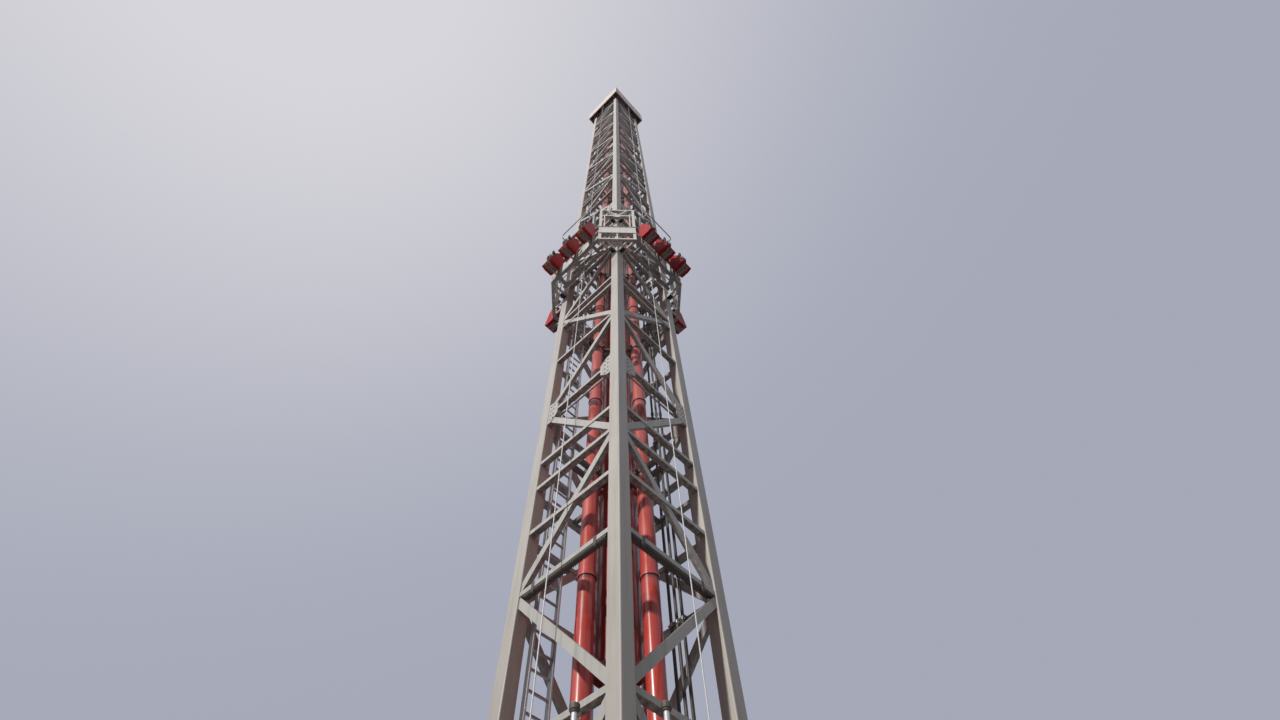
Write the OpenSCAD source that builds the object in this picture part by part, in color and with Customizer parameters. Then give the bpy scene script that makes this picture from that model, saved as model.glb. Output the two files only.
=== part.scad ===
// Drop tower ride at half size: a square lattice mast with four long air tubes and a ring carriage of seats

/* [Tower] */
// Side of the square mast, over the outer faces of its legs
tower_side = 1225; // [1150:5:1350]
// Number of bracing bays
bay_count = 23; // [13:1:25]
// Height of one bracing bay
bay_h = 1260; // [1150:10:1350]
// Height of the lowest bracing joint above the ground
first_joint_h = 212; // [200:1:260]

/* [Legs] */
// Outer width of a square leg tube
leg_w = 127; // [110:1:140]
// Wall of a leg tube
leg_wall = 8; // [5:0.5:12]
// Outer corner radius of a leg tube
leg_r = 10; // [4:0.5:14]
// Side of a leg's base plate
plate_w = 320; // [290:5:360]
// Thickness of the base plates
plate_t = 25; // [16:1:32]
// Spacing of the four anchor holes of a base plate
anchor_gap = 240; // [220:2:250]
// Diameter of an anchor hole
anchor_d = 26; // [18:1:34]
// Height of a base plate's stiffening ribs
rib_h = 130; // [80:5:180]
// Thickness of the ribs
rib_t = 12; // [8:1:16]

/* [Bracing] */
// Width of a diagonal, seen on the face
diagonal_w = 72; // [55:1:85]
// Depth of a diagonal, into the mast
diagonal_t = 44; // [30:1:54]
// Height of a horizontal rail
rail_w = 46; // [36:1:60]
// Depth of a rail, into the mast
rail_t = 60; // [48:1:66]
// Distance of the bracing behind the outer faces of the legs
brace_inset = 8; // [4:1:14]
// Bays between two splices of the mast
section_bays = 5; // [4:1:6]
// Width of the strips that weld the diagonals' ends to the legs
end_strip_w = 10; // [6:1:20]
// Length of a splice gusset along the leg
gusset_l = 380; // [300:10:440]
// Width of a splice gusset
gusset_w = 150; // [110:5:180]

/* [Base and top frames] */
// Height of the base and top beams
beam_h = 120; // [100:2:140]
// Flange width of the base and top beams
beam_w = 90; // [76:2:100]
// Web and flange thickness of the beams
beam_t = 12; // [8:1:16]
// Side of the central bearing plate
bearing_w = 460; // [400:10:560]

/* [Air tubes] */
// Outer diameter of an air tube
tube_d = 142; // [124:1:156]
// Wall of an air tube
tube_wall = 6; // [4:0.5:10]
// Distance of each air tube from the mast's axis
tube_off = 347; // [340:1:356]
// Height of the lower ends of the air tubes
tube_low = 780; // [740:5:900]
// Outer diameter of the central receiver
receiver_d = 404; // [360:2:430]
// Wall of the central receiver
receiver_wall = 8; // [5:0.5:12]
// Height of the receiver's lower end
receiver_low = 3350; // [3000:10:3800]
// Depth of a collar round an air tube
collar_t = 7; // [4:0.5:9]
// Height of a collar
collar_h = 26; // [16:1:40]
// Width of a bracket bar
bracket_w = 40; // [30:1:44]
// Height of a bracket bar
bracket_h = 50; // [36:1:60]
// Wall of a bracket's clamp ring
clamp_wall = 13; // [9:1:15]

/* [Lift cables] */
// Diameter of a lift cable
cable_d = 10; // [7:0.5:14]
// Distance of the cables outside the mast's faces
cable_out = 122; // [112:1:134]
// Width of a sheave
sheave_w = 34; // [26:1:44]
// Depth of a sheave's rim outside the cable's middle
sheave_rim = 12; // [9:0.5:16]
// Gap between a sheave's rim and the beam under it
sheave_gap = 30; // [20:1:50]
// Diameter of a sheave's axle
axle_d = 40; // [30:1:50]
// Thickness of a sheave's side plates
cheek_t = 12; // [8:1:16]

/* [Ladder and pipes] */
// Distance between the ladder's rungs
rung_gap = 165; // [140:5:180]
// Clear width of the ladder
ladder_w = 200; // [170:5:230]
// Depth of a ladder stile
stile_t = 30; // [22:1:34]
// Thickness of a ladder stile
stile_w = 12; // [8:1:16]
// Thickness of a square rung
rung_d = 16; // [12:1:20]
// Length of the ladder's stand-offs from the bracing
ladder_stand = 15; // [10:1:24]
// Distance of the ladder's middle from the mast's axis, along its face
ladder_off = 300; // [280:5:320]
// Diameter of a pipe of the pipe run
pipe_d = 28; // [20:1:34]
// Distance between the pipes
pipe_gap = 62; // [50:1:70]
// Height of the stand pipes
stand_h = 2690; // [2500:10:2780]
// Diameter of a stand pipe
stand_d = 34; // [26:1:38]
// Distance of the stand pipes outside the mast's faces
stand_out = 58; // [50:1:60]

/* [Top] */
// Overhang of the top's panels outside the mast
cap_out = 168; // [155:1:200]
// Height of the top's panels
cap_h = 1500; // [1400:10:1700]
// Distance of the panels' lower edge below the mast's top joint
cap_drop = 492; // [400:4:600]
// Thickness of the panels and the roof
panel_t = 20; // [12:1:28]
// Width of the panel frame's bars
cap_bar = 40; // [30:1:50]
// Thickness of the rings behind the panels
ring_t = 16; // [10:1:20]

/* [Carriage] */
// Height of the carriage's lower edge, as it hangs in the photo
carriage_z = 9926; // [8000:10:12000]
// Height of the carriage's frames
carriage_h = 1605; // [1500:5:1700]
// Distance of the side frames' middle outside the mast's faces
side_out = 306; // [296:1:330]
// Distance of the corner frames' middle outside the legs' edges
corner_out = 139; // [130:1:150]
// Width of a corner frame
corner_w = 589; // [560:1:610]
// Width of the frames' posts and bars
bar_w = 45; // [36:1:52]
// Depth of the frames' posts and bars
bar_t = 50; // [40:1:56]
// Height of a corner frame's closed plate above its lower edge
plate_low = 282; // [240:2:320]
// Height of that plate
plate_h = 331; // [280:2:360]
// Height of the corner frame's upper bar
upper_bar = 1230; // [1100:5:1300]
// Diameter of a guide roller
roller_d = 90; // [76:1:100]
// Width of a guide roller
roller_w = 56; // [44:1:64]
// Diameter of a roller's pin
pin_d = 20; // [14:1:26]
// Running gap between the rollers and the legs
roller_gap = 0.5; // [0.3:0.1:0.9]
// Gap between a lift cable and its clamp's bore
cable_gap = 1; // [0.5:0.1:2]

/* [Seats] */
// Distance between the seats of one side
seat_pitch = 370; // [360:1:380]
// Width of a seat
seat_w = 200; // [180:2:220]
// Height of the seats' undersides above the carriage's lower edge
seat_z = 90; // [84:2:110]
// Depth of the seat pans, outwards
seat_l = 262; // [240:2:290]
// Height of the seats
seat_h = 600; // [560:5:640]
// Height of the shells between the seats
shell_h = 570; // [520:5:600]
// Width of the shells between the seats
shell_w = 160; // [140:2:170]
// Bulge of the shells between the seats
shell_l = 70; // [50:2:90]
// Thickness of the seat shells
shell_t = 14; // [12:1:18]
// Diameter of a restraint's tube
restraint_d = 24; // [20:1:28]
// Diameter of the rails over the seats
hoop_d = 20; // [14:1:24]
// Distance of these rails outside the side frames
hoop_out = 135; // [120:5:160]
// Height of these rails over the top beams' middle
hoop_up = 95; // [90:5:150]

/* [Hidden] */
$fn = 48;
half = tower_side / 2;
leg_c = half - leg_w / 2;
clear = tower_side - 2 * leg_w;
top_joint = first_joint_h + bay_count * bay_h;
leg_top = top_joint + rail_w / 2;
beam_top = plate_t + beam_h;
brace_y = half - brace_inset;
brace_in = brace_y - rail_t;
cable_y = half + cable_out;
sheave_y = (cable_y + tube_off) / 2;
sheave_r = (cable_y - tube_off) / 2;
sheave_low = beam_top + sheave_r + sheave_rim + sheave_gap;
frame_top = leg_top + beam_h;
sheave_top = frame_top + sheave_r + sheave_rim + sheave_gap;
tube_top = leg_top - 60;
tube_r = tube_d / 2;
fit_gap = 0.3;
side_y = half + side_out;
corner_d = half * sqrt(2) + corner_out;
corner_cut = corner_w / sqrt(2);
cap_low = top_joint - cap_drop;
cap_half = half + cap_out;
SPLICES = [section_bays : section_bays : bay_count - 1];

function joint_z(k) = first_joint_h + k * bay_h;

// Turns a piece drawn for the right front side to side i, mirrored on every second one
module on_side(i) {
  rotate(90 * i)
    mirror([i % 2, 0, 0])
      children();
}

// Turns a piece drawn for the front corner to corner i
module at_corner(i) {
  rotate(90 * i)
    children();
}

module rounded_square(w, r) {
  square([w - 2 * r, w], center = true);
  square([w, w - 2 * r], center = true);
  for (x = [-1, 1], y = [-1, 1])
    translate([x * (w / 2 - r), y * (w / 2 - r)])
      circle(r);
}

function unit(v) = v / norm(v);

// Points of an arc round c from direction u towards direction v, through the given angle
function arc(c, r, u, v, angle, steps = 6) =
  [for (i = [0 : steps]) c + r * (cos(angle * i / steps) * u + sin(angle * i / steps) * v)];

// The direction of a route at its point i
function heading(route, i) =
  i == 0 ? unit(route[1] - route[0])
  : i == len(route) - 1 ? unit(route[i] - route[i - 1])
  : unit(unit(route[i] - route[i - 1]) + unit(route[i + 1] - route[i]));

// A bent round bar along a route of points
module bent_bar(route, d) {
  sides = 12;
  side_way = unit([0.5, 0.6, 0.62]);
  rings = [
    for (i = [0 : len(route) - 1])
      let (t = heading(route, i), u = unit(cross(t, side_way)), v = cross(t, u))
        for (j = [0 : sides - 1])
          route[i] + d / 2 * (cos(360 * j / sides) * u + sin(360 * j / sides) * v)
  ];
  last = (len(route) - 1) * sides;
  polyhedron(rings, concat(
    [[for (j = [0 : sides - 1]) j]],
    [[for (j = [sides - 1 : -1 : 0]) last + j]],
    [for (i = [0 : len(route) - 2], j = [0 : sides - 1])
      let (a = i * sides, k = (j + 1) % sides)
        [a + j, a + sides + j, a + sides + k, a + k]]
  ));
}

// Joins two flanges and a web into a frame of I beams that stands on z = 0; children draw its plan, flange first
module beam_frame() {
  for (z = [0, beam_h - beam_t])
    translate([0, 0, z])
      linear_extrude(beam_t)
        children(0);
  translate([0, 0, beam_t / 2])
    linear_extrude(beam_h - beam_t)
      children(1);
}

// One leg tube, at the front corner
module leg() {
  translate([-leg_c, -leg_c, plate_t])
    linear_extrude(leg_top - plate_t)
      difference() {
        rounded_square(leg_w, leg_r);
        rounded_square(leg_w - 2 * leg_wall, leg_r - leg_wall / 2);
      }
}

// A base plate with its anchor holes, and ribs against the leg's two outer faces
module base_plate() {
  foot = (plate_w - leg_w) / 2;
  translate([-leg_c, -leg_c, 0]) {
    difference() {
      translate([-plate_w / 2, -plate_w / 2, 0])
        cube([plate_w, plate_w, plate_t]);
      for (x = [-1, 1], y = [-1, 1])
        translate([x * anchor_gap / 2, y * anchor_gap / 2, -1])
          cylinder(d = anchor_d, h = plate_t + 2);
    }
    for (a = [180, 270], s = [-1, 1])
      rotate(a)
        translate([leg_w / 2, s * leg_w / 4 + rib_t / 2, 0])
          rotate([90, 0, 0])
            linear_extrude(rib_t)
              polygon([[0, plate_t / 2], [foot, plate_t / 2], [foot, plate_t + 20],
                       [20, plate_t + rib_h], [0, plate_t + rib_h]]);
  }
}

module base_plates() {
  color("gainsboro")
    for (i = [0 : 3])
      at_corner(i)
        base_plate();
}

module leg_front() {
  color("gainsboro")
    at_corner(0)
      leg();
}

module leg_right() {
  color("gainsboro")
    at_corner(1)
      leg();
}

module leg_back() {
  color("gainsboro")
    at_corner(2)
      leg();
}

module leg_left() {
  color("gainsboro")
    at_corner(3)
      leg();
}

// A bar between two points of a face, as wide as w
module flat_bar(p, q, w) {
  v = q - p;
  translate(p)
    rotate(atan2(v.y, v.x))
      translate([0, -w / 2])
        square([norm(v), w]);
}

module face_clip() {
  intersection() {
    children();
    translate([-clear / 2, beam_top])
      square([clear, leg_top - beam_top]);
  }
}

// The diagonals of one face, running in zigzag from the front leg's even joints to the side leg's odd ones
module face_diagonals() {
  face_clip()
    for (k = [0 : bay_count - 1]) {
      s = k % 2 == 0 ? -1 : 1;
      flat_bar([s * leg_c, joint_z(k)], [-s * leg_c, joint_z(k + 1)], diagonal_w);
    }
}

// The strips along the legs that join the ends of two diagonals and the rail between them
module face_end_strips() {
  slope = bay_h / (2 * leg_c);
  h = 2 * (leg_w / 2 * slope + diagonal_w / 2 * sqrt(1 + slope * slope));
  face_clip()
    for (k = [0 : bay_count], s = [k % 2 == 0 ? -1 : 1])
      translate([s * (clear - end_strip_w) / 2, joint_z(k)])
        square([end_strip_w, h], center = true);
}

// A chamfered splice gusset beside a leg
module face_gusset(s) {
  scale([s, 1])
    polygon([[clear / 2, -gusset_l / 2], [clear / 2, gusset_l / 2],
             [clear / 2 - gusset_w / 3, gusset_l / 2], [clear / 2 - gusset_w, gusset_l / 4],
             [clear / 2 - gusset_w, -gusset_l / 4], [clear / 2 - gusset_w / 3, -gusset_l / 2]]);
}

module face_rails() {
  face_clip() {
    for (k = [1 : bay_count])
      translate([-clear / 2, joint_z(k) - rail_w / 2])
        square([clear, rail_w]);
    for (k = SPLICES, d = [-1.47, -0.69, 1.81])
      if (k + d < bay_count)
        translate([-clear / 2, joint_z(k + d) - rail_w / 2])
          square([clear, rail_w]);
    for (k = SPLICES, s = [-1, 1])
      translate([0, joint_z(k)])
        face_gusset(s);
  }
}

// The bracing of the right front face
module lattice() {
  translate([0, -brace_y, 0])
    rotate([90, 0, 0])
      translate([0, 0, -rail_t])
        linear_extrude(rail_t)
          face_rails();
  translate([0, -brace_y + (rail_t - diagonal_t) / 2, 0])
    rotate([90, 0, 0])
      translate([0, 0, -diagonal_t])
        linear_extrude(diagonal_t) {
          face_diagonals();
          face_end_strips();
        }
}

module lattice_front_right() {
  color("silver")
    on_side(0)
      lattice();
}

module lattice_back_right() {
  color("silver")
    on_side(1)
      lattice();
}

module lattice_back_left() {
  color("silver")
    on_side(2)
      lattice();
}

module lattice_front_left() {
  color("silver")
    on_side(3)
      lattice();
}

// The two side plates that hold a sheave's axle over a beam, as high as h
module cheeks(h) {
  for (s = [-1, 1])
    translate([s * (sheave_w / 2 + 4 + cheek_t / 2) - cheek_t / 2, 0, 0])
      rotate([90, 0, 90])
        linear_extrude(cheek_t)
          difference() {
            union() {
              polygon([[-beam_w * 0.45, -beam_t / 2], [beam_w * 0.45, -beam_t / 2],
                       [axle_d * 0.9, h], [-axle_d * 0.9, h]]);
              translate([0, h])
                circle(axle_d * 0.9);
            }
            translate([0, h])
              circle(d = axle_d + 2 * fit_gap);
          }
}

// Plan of the base's tie beams and diagonal beams, as wide as w
module base_plan(w) {
  for (i = [0 : 3])
    rotate(90 * i)
      translate([0, -sheave_y])
        square([clear, w], center = true);
  difference() {
    for (a = [45, 135])
      rotate(a)
        square([2 * leg_c * sqrt(2), w], center = true);
    for (x = [-1, 1], y = [-1, 1])
      translate([x * leg_c, y * leg_c])
        square(leg_w, center = true);
  }
}

module base_frame() {
  color("dimgray") {
    translate([0, 0, plate_t])
      beam_frame() {
        base_plan(beam_w);
        base_plan(beam_t);
      }
    for (i = [0 : 3])
      at_corner(i)
        translate([0, -sheave_y, beam_top])
          cheeks(sheave_low - beam_top);
    translate([-bearing_w / 2, -bearing_w / 2, 0])
      cube([bearing_w, bearing_w, plate_t]);
    translate([0, 0, plate_t / 2])
      cylinder(d = 1.5 * beam_w, h = beam_top - (plate_t + beam_t) / 2);
  }
}

module top_plan(w) {
  for (i = [0 : 3])
    rotate(90 * i)
      translate([0, -sheave_y])
        square([2 * sheave_y + beam_w, w], center = true);
}

module top_frame() {
  color("dimgray") {
    translate([0, 0, leg_top])
      beam_frame() {
        top_plan(beam_w);
        top_plan(beam_t);
      }
    for (i = [0 : 3])
      at_corner(i)
        translate([0, -sheave_y, frame_top])
          cheeks(sheave_top - frame_top);
  }
}

module air_tube() {
  difference() {
    union() {
      translate([0, 0, tube_low])
        cylinder(d = tube_d, h = tube_top - tube_low);
      for (k = [1 : 2 : bay_count - 1])
        translate([0, 0, joint_z(k)])
          cylinder(d = tube_d + 2 * collar_t, h = collar_h);
    }
    translate([0, 0, tube_low + tube_wall])
      cylinder(d = tube_d - 2 * tube_wall, h = tube_top - tube_low - 2 * tube_wall);
    translate([0, 0, tube_low - 1])
      cylinder(d = cable_d + 4, h = tube_top - tube_low + 2);
  }
}

module air_tubes() {
  color("orangered")
    for (i = [0 : 3])
      at_corner(i)
        translate([0, -tube_off, 0])
          air_tube();
}

module receiver() {
  color("firebrick")
    difference() {
      translate([0, 0, receiver_low])
        cylinder(d = receiver_d, h = joint_z(bay_count - 1) + bay_h / 2 - receiver_low);
      translate([0, 0, receiver_low - 1])
        cylinder(d = receiver_d - 2 * receiver_wall, h = 41);
      translate([0, 0, receiver_low + 60])
        cylinder(d = receiver_d - 2 * receiver_wall,
                 h = joint_z(bay_count - 1) + bay_h / 2 - receiver_low - 80);
    }
}

// One bracket that ties the tubes to each other, to the receiver and to the middle of the four faces
module tube_bracket(with_receiver) {
  translate([0, 0, -bracket_h / 2])
    difference() {
      union() {
        for (i = [0 : 3])
          at_corner(i) {
            for (s = [-1, 1])
              translate([s * tube_r * 0.7 - bracket_w / 2, -brace_in, 0])
                cube([bracket_w, brace_in - tube_off, bracket_h]);
            translate([0, -tube_off, 0])
              cylinder(r = tube_r + clamp_wall, h = bracket_h);
            translate([0, -tube_off, bracket_h / 4])
              rotate(45)
                translate([0, -bracket_w / 2, 0])
                  cube([tube_off * sqrt(2), bracket_w, bracket_h / 2]);
            if (with_receiver)
              translate([-bracket_w / 2, -tube_off, 0])
                cube([bracket_w, tube_off - receiver_d / 2, bracket_h]);
          }
        if (with_receiver)
          cylinder(d = receiver_d + 2 * clamp_wall, h = bracket_h);
      }
      for (i = [0 : 3])
        at_corner(i)
          translate([0, -tube_off, -1])
            cylinder(r = tube_r + fit_gap, h = bracket_h + 2);
      if (with_receiver)
        translate([0, 0, -1])
          cylinder(d = receiver_d + 2 * fit_gap, h = bracket_h + 2);
    }
}

module tube_brackets() {
  color("darkslategray")
    for (k = [2 : 2 : bay_count - 1])
      translate([0, 0, joint_z(k)])
        tube_bracket(joint_z(k) - bracket_h > receiver_low);
}

// The climbing ladder, inside the left back face near the left leg
module ladder() {
  low = joint_z(1) - bay_h / 2;
  high = joint_z(bay_count - 1) + bay_h / 3;
  outer = ladder_w / 2 + stile_w;
  color("lightslategray")
    translate([-ladder_off, brace_in - ladder_stand, low])
      rotate([90, 0, 0]) {
        translate([0, 0, (stile_t - rung_d) / 2])
          linear_extrude(rung_d)
            difference() {
              translate([-outer + 2, 1])
                square([2 * outer - 4, high - low - 2]);
              for (z = [1 : rung_gap : high - low - 1])
                translate([-ladder_w / 2, z])
                  square([ladder_w, rung_gap - rung_d]);
            }
        for (s = [-1, 1])
          linear_extrude(stile_t)
            translate([s * (ladder_w + stile_w) / 2 - stile_w / 2, 0])
              square([stile_w, high - low]);
        for (k = [1 : bay_count - 1], s = [-1, 1])
          translate([s * (ladder_w + stile_w) / 2 - stile_w / 2, joint_z(k) - rail_w / 2 - low, -ladder_stand])
            cube([stile_w, rail_w, ladder_stand + 1]);
      }
}

// Three pipes on clamp bars, inside the right back face
module pipe_run() {
  low = joint_z(1) - bay_h / 2;
  high = joint_z(bay_count - 1);
  color("darkslategray") {
    for (i = [-1, 0, 1])
      translate([brace_in - pipe_d, -half * 0.28 + i * pipe_gap, low])
        cylinder(d = pipe_d, h = high - low);
    for (k = [1 : bay_count - 2])
      translate([brace_in - pipe_d, -half * 0.28 - pipe_gap * 1.4, joint_z(k) - rail_w / 2])
        cube([pipe_d, 2.8 * pipe_gap, rail_w]);
  }
}

// A steel pipe with a dark cap, clamped outside each front face
module stand_pipe() {
  x = -half + 0.25 * tower_side;
  y = -half - stand_out;
  translate([x, y, 0]) {
    cylinder(d = stand_d, h = stand_h - 30);
    cylinder(d = 2 * stand_d, h = 12);
    translate([0, 0, stand_h - 30])
      cylinder(d = stand_d + 26, h = 30);
    translate([-12, 0, joint_z(1) - rail_w / 2])
      cube([24, -y - brace_y, rail_w]);
  }
}

module stand_pipes() {
  color("lightgray") {
    on_side(0)
      stand_pipe();
    on_side(3)
      stand_pipe();
  }
}

// One closed cable: up outside the mast, over the top sheave and down through its air tube
module lift_cable() {
  for (y = [cable_y, tube_off])
    translate([0, -y, sheave_low])
      cylinder(d = cable_d, h = sheave_top - sheave_low);
  for (s = [0, 1])
    translate([0, -sheave_y, s == 0 ? sheave_low : sheave_top])
      rotate([90, 0, 90])
        rotate([0, 0, s == 0 ? 180 : 0])
          rotate_extrude(angle = 180)
            translate([sheave_r, 0])
              circle(d = cable_d);
}

module lift_cables() {
  color("lightgray")
    for (i = [0 : 3])
      at_corner(i)
        lift_cable();
}

// A grooved sheave with its axis along X
module sheave() {
  rotate([0, 90, 0])
    difference() {
      rotate_extrude()
        difference() {
          union() {
            translate([axle_d / 2 + fit_gap, -sheave_w / 2 - 3])
              square([16, sheave_w + 6]);
            translate([axle_d / 2 + 10, -5])
              square([sheave_r - axle_d / 2 - 30, 10]);
            translate([sheave_r - 28, -sheave_w / 2])
              square([28 + sheave_rim, sheave_w]);
          }
          polygon([[sheave_r + sheave_rim + 1, -sheave_w / 2 + 4], [sheave_r, -cable_d / 2 - fit_gap],
                   [sheave_r, cable_d / 2 + fit_gap], [sheave_r + sheave_rim + 1, sheave_w / 2 - 4]]);
          translate([sheave_r, 0])
            circle(d = cable_d + 2 * fit_gap);
        }
      for (i = [0 : 5])
        rotate(60 * i)
          translate([sheave_r * 0.55, 0, -sheave_w])
            cylinder(r = sheave_r * 0.16, h = 2 * sheave_w);
    }
}

module bottom_sheaves() {
  color("slategray")
    for (i = [0 : 3])
      at_corner(i)
        translate([0, -sheave_y, sheave_low])
          sheave();
}

module top_sheaves() {
  color("slategray")
    for (i = [0 : 3])
      at_corner(i)
        translate([0, -sheave_y, sheave_top])
          sheave();
}

module sheave_axles() {
  l = sheave_w + 8 + 2 * cheek_t + 16;
  color("gray")
    for (i = [0 : 3], z = [sheave_low, sheave_top])
      at_corner(i)
        translate([-l / 2, -sheave_y, z])
          rotate([0, 90, 0])
            cylinder(d = axle_d, h = l);
}

// The square rings and outriggers that carry the top's panels
module cap_frame() {
  inner = cap_half - panel_t;
  hole = inner - ring_t;
  color("dimgray") {
    for (z = [cap_low + 30, cap_low + cap_h - cap_bar])
      translate([0, 0, z])
        difference() {
          translate([-inner, -inner, 0])
            cube([2 * inner, 2 * inner, cap_bar]);
          translate([-hole, -hole, -1])
            cube([2 * hole, 2 * hole, cap_bar + 2]);
        }
    for (i = [0 : 3])
      at_corner(i) {
        for (s = [-1, 1])
          translate([s * leg_c - cap_bar / 2, -inner + 1, cap_low + 30])
            cube([cap_bar, inner - 1 - half, cap_bar]);
        for (s = [-1, 1])
          translate([s * (leg_c - leg_w) - cap_bar / 2, -sheave_y - cap_bar / 2, frame_top])
            cube([cap_bar, cap_bar, cap_low + cap_h - frame_top]);
        translate([-leg_c + leg_w - cap_bar / 2, -inner + 1, cap_low + cap_h - cap_bar])
          cube([cap_bar, inner - 1 - sheave_y, cap_bar]);
        translate([leg_c - leg_w - cap_bar / 2, -inner + 1, cap_low + cap_h - cap_bar])
          cube([cap_bar, inner - 1 - sheave_y, cap_bar]);
        translate([leg_c - leg_w - cap_bar / 2, 1 - inner, cap_low + 31])
          cube([cap_bar, ring_t - 2, cap_h - cap_bar]);
      }
  }
}

module cap_panels() {
  color("mistyrose")
    for (i = [0 : 3])
      at_corner(i)
        translate([-cap_half, -cap_half, cap_low])
          cube([2 * cap_half - panel_t - 1, panel_t, cap_h]);
}

module cap_roof() {
  color("gainsboro")
    translate([-cap_half, -cap_half, cap_low + cap_h])
      cube([2 * cap_half, 2 * cap_half, panel_t]);
}

// The outline of a corner frame: posts, bars, the closed plate and the web under the top bar
module corner_outline() {
  w = corner_w / 2;
  for (s = [-1, 1])
    translate([s * (w - bar_w / 2) - bar_w / 2, 0])
      square([bar_w, carriage_h]);
  for (z = [0, upper_bar, carriage_h - bar_w])
    translate([-w, z])
      square([2 * w, bar_w]);
  translate([-w, plate_low])
    square([2 * w, plate_h]);
  for (s = [-1, 1]) {
    translate([s * (w - bar_w * 1.9) - bar_w / 5, plate_low])
      square([bar_w / 2.5, upper_bar - plate_low]);
    flat_bar([0, upper_bar + bar_w / 2], [s * w * 0.6, carriage_h - bar_w / 2], bar_w / 2);
    polygon([[0, upper_bar], [s * w * 0.3, upper_bar], [0, upper_bar - w * 0.22]]);
  }
  translate([-bar_w / 4, 0])
    square([bar_w / 2, plate_low]);
}

// The fork plates that hold the two rollers of one level against the leg's faces
module roller_forks(z) {
  reach = corner_d * sqrt(2);
  y = -half - roller_gap - roller_d / 2;
  for (m = [0, 1])
    mirror([m, -m, 0])
      for (s = [-1, 1]) {
        x = -leg_c + s * (roller_w / 2 + 2 + cheek_t / 2);
        translate([0, 0, z - roller_d * 0.4])
          linear_extrude(roller_d * 0.8)
            polygon([[x - cheek_t / 2, y + pin_d], [x + cheek_t / 2, y + pin_d],
                     [x + cheek_t / 2, -reach - x - cheek_t / 2], [x - cheek_t / 2, -reach - x + cheek_t / 2]]);
      }
}

module roller_pins(z) {
  y = -half - roller_gap - roller_d / 2;
  l = roller_w + 4 + 2 * cheek_t;
  for (m = [0, 1])
    mirror([m, -m, 0])
      translate([-leg_c - l / 2, y, z])
        rotate([0, 90, 0])
          cylinder(d = pin_d, h = l);
}

// One corner frame with its roller forks, at the front corner
module corner_frame() {
  translate([0, 0, carriage_z]) {
    rotate(-45)
      translate([0, -corner_d + bar_t / 2, 0])
        rotate([90, 0, 0])
          linear_extrude(bar_t)
            corner_outline();
    for (z = [bar_w / 2, carriage_h - bar_w / 2]) {
      roller_forks(z);
      roller_pins(z);
    }
  }
}

module corner_frame_front() {
  color("whitesmoke")
    at_corner(0)
      corner_frame();
}

module corner_frame_right() {
  color("whitesmoke")
    at_corner(1)
      corner_frame();
}

module corner_frame_back() {
  color("whitesmoke")
    at_corner(2)
      corner_frame();
}

module corner_frame_left() {
  color("whitesmoke")
    at_corner(3)
      corner_frame();
}

// A level beam of a side frame, with its ends cut to the corner posts
module side_beam(y, depth, z, h) {
  low = y - depth / 2;
  high = y + depth / 2;
  translate([0, 0, z])
    linear_extrude(h)
      polygon([[-high + corner_cut, -high], [high - corner_cut, -high],
               [low - corner_cut, -low], [-low + corner_cut, -low]]);
}

// The frame of one side: outer and inner beams, posts and the brackets under the seats
module side_frame() {
  inner_y = cable_y;
  foot = bar_t / 2 + 185;
  translate([0, 0, carriage_z]) {
    side_beam(side_y, bar_t, 0, bar_w);
    side_beam(side_y, bar_t, seat_z + seat_h - bar_w, bar_w);
    side_beam(side_y, bar_t, carriage_h - bar_w, bar_w);
    difference() {
      translate([-seat_pitch * 1.2, -inner_y - bar_t / 2, 0])
        cube([2.4 * seat_pitch, bar_t, bar_w]);
      translate([0, -inner_y, -1])
        cylinder(d = cable_d + 2 * cable_gap, h = bar_w + 2);
    }
    for (x = [-seat_pitch, 0, seat_pitch]) {
      translate([x - bar_w / 2, -side_y, 0])
        cube([bar_w, side_y - inner_y - bar_t / 2, bar_w]);
      translate([x + rib_t / 2, -side_y, 0])
        rotate([90, 0, -90])
          linear_extrude(rib_t)
            polygon([[0, rib_t / 2], [bar_t / 2, rib_t / 2], [foot, seat_z - rib_t], [foot, seat_z],
                     [foot - 120, seat_z], [bar_t / 2, bar_w - rib_t / 2], [0, bar_w - rib_t / 2]]);
      translate([x - bar_w / 2 + 2, -side_y - bar_t / 2 + 2, bar_w / 2])
        cube([bar_w - 4, bar_t - 4, carriage_h - bar_w]);
    }
  }
}

module side_frame_front_right() {
  color("slategray")
    on_side(0)
      side_frame();
}

module side_frame_back_right() {
  color("slategray")
    on_side(1)
      side_frame();
}

module side_frame_back_left() {
  color("slategray")
    on_side(2)
      side_frame();
}

module side_frame_front_left() {
  color("slategray")
    on_side(3)
      side_frame();
}

// Puts a seat piece at its place; in the piece X points outwards and Z up, from the seat's lower edge
module at_seats() {
  for (i = [-1, 0, 1])
    translate([i * seat_pitch, -side_y - bar_t / 2, carriage_z + seat_z])
      rotate(-90)
        children();
}

// Outline of a seat from the side: a six-sided wing with its point above the rider's shoulder
module seat_side() {
  scale([seat_l / 100, seat_h / 100])
    polygon([[5, 28], [23, 0], [73, 0], [100, 8], [68, 73], [34, 99], [24, 100], [8, 80]]);
}

// A bucket seat: pan and back between two raised sides
module seat() {
  hollow_x = 50;
  difference() {
    translate([0, seat_w / 2, 0])
      rotate([90, 0, 0])
        linear_extrude(seat_w)
          seat_side();
    translate([0, seat_w / 2 - shell_t, 0])
      rotate([90, 0, 0])
        linear_extrude(seat_w - 2 * shell_t)
          polygon([[hollow_x, 70], [seat_l - 32, 90], [seat_l + 38, 110],
                   [seat_l + 38, seat_h + 100], [hollow_x, seat_h + 100]]);
  }
}

module seat_side_set() {
  color("crimson")
    at_seats()
      seat();
}

module seats_front_right() {
  on_side(0)
    seat_side_set();
}

module seats_back_right() {
  on_side(1)
    seat_side_set();
}

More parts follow.
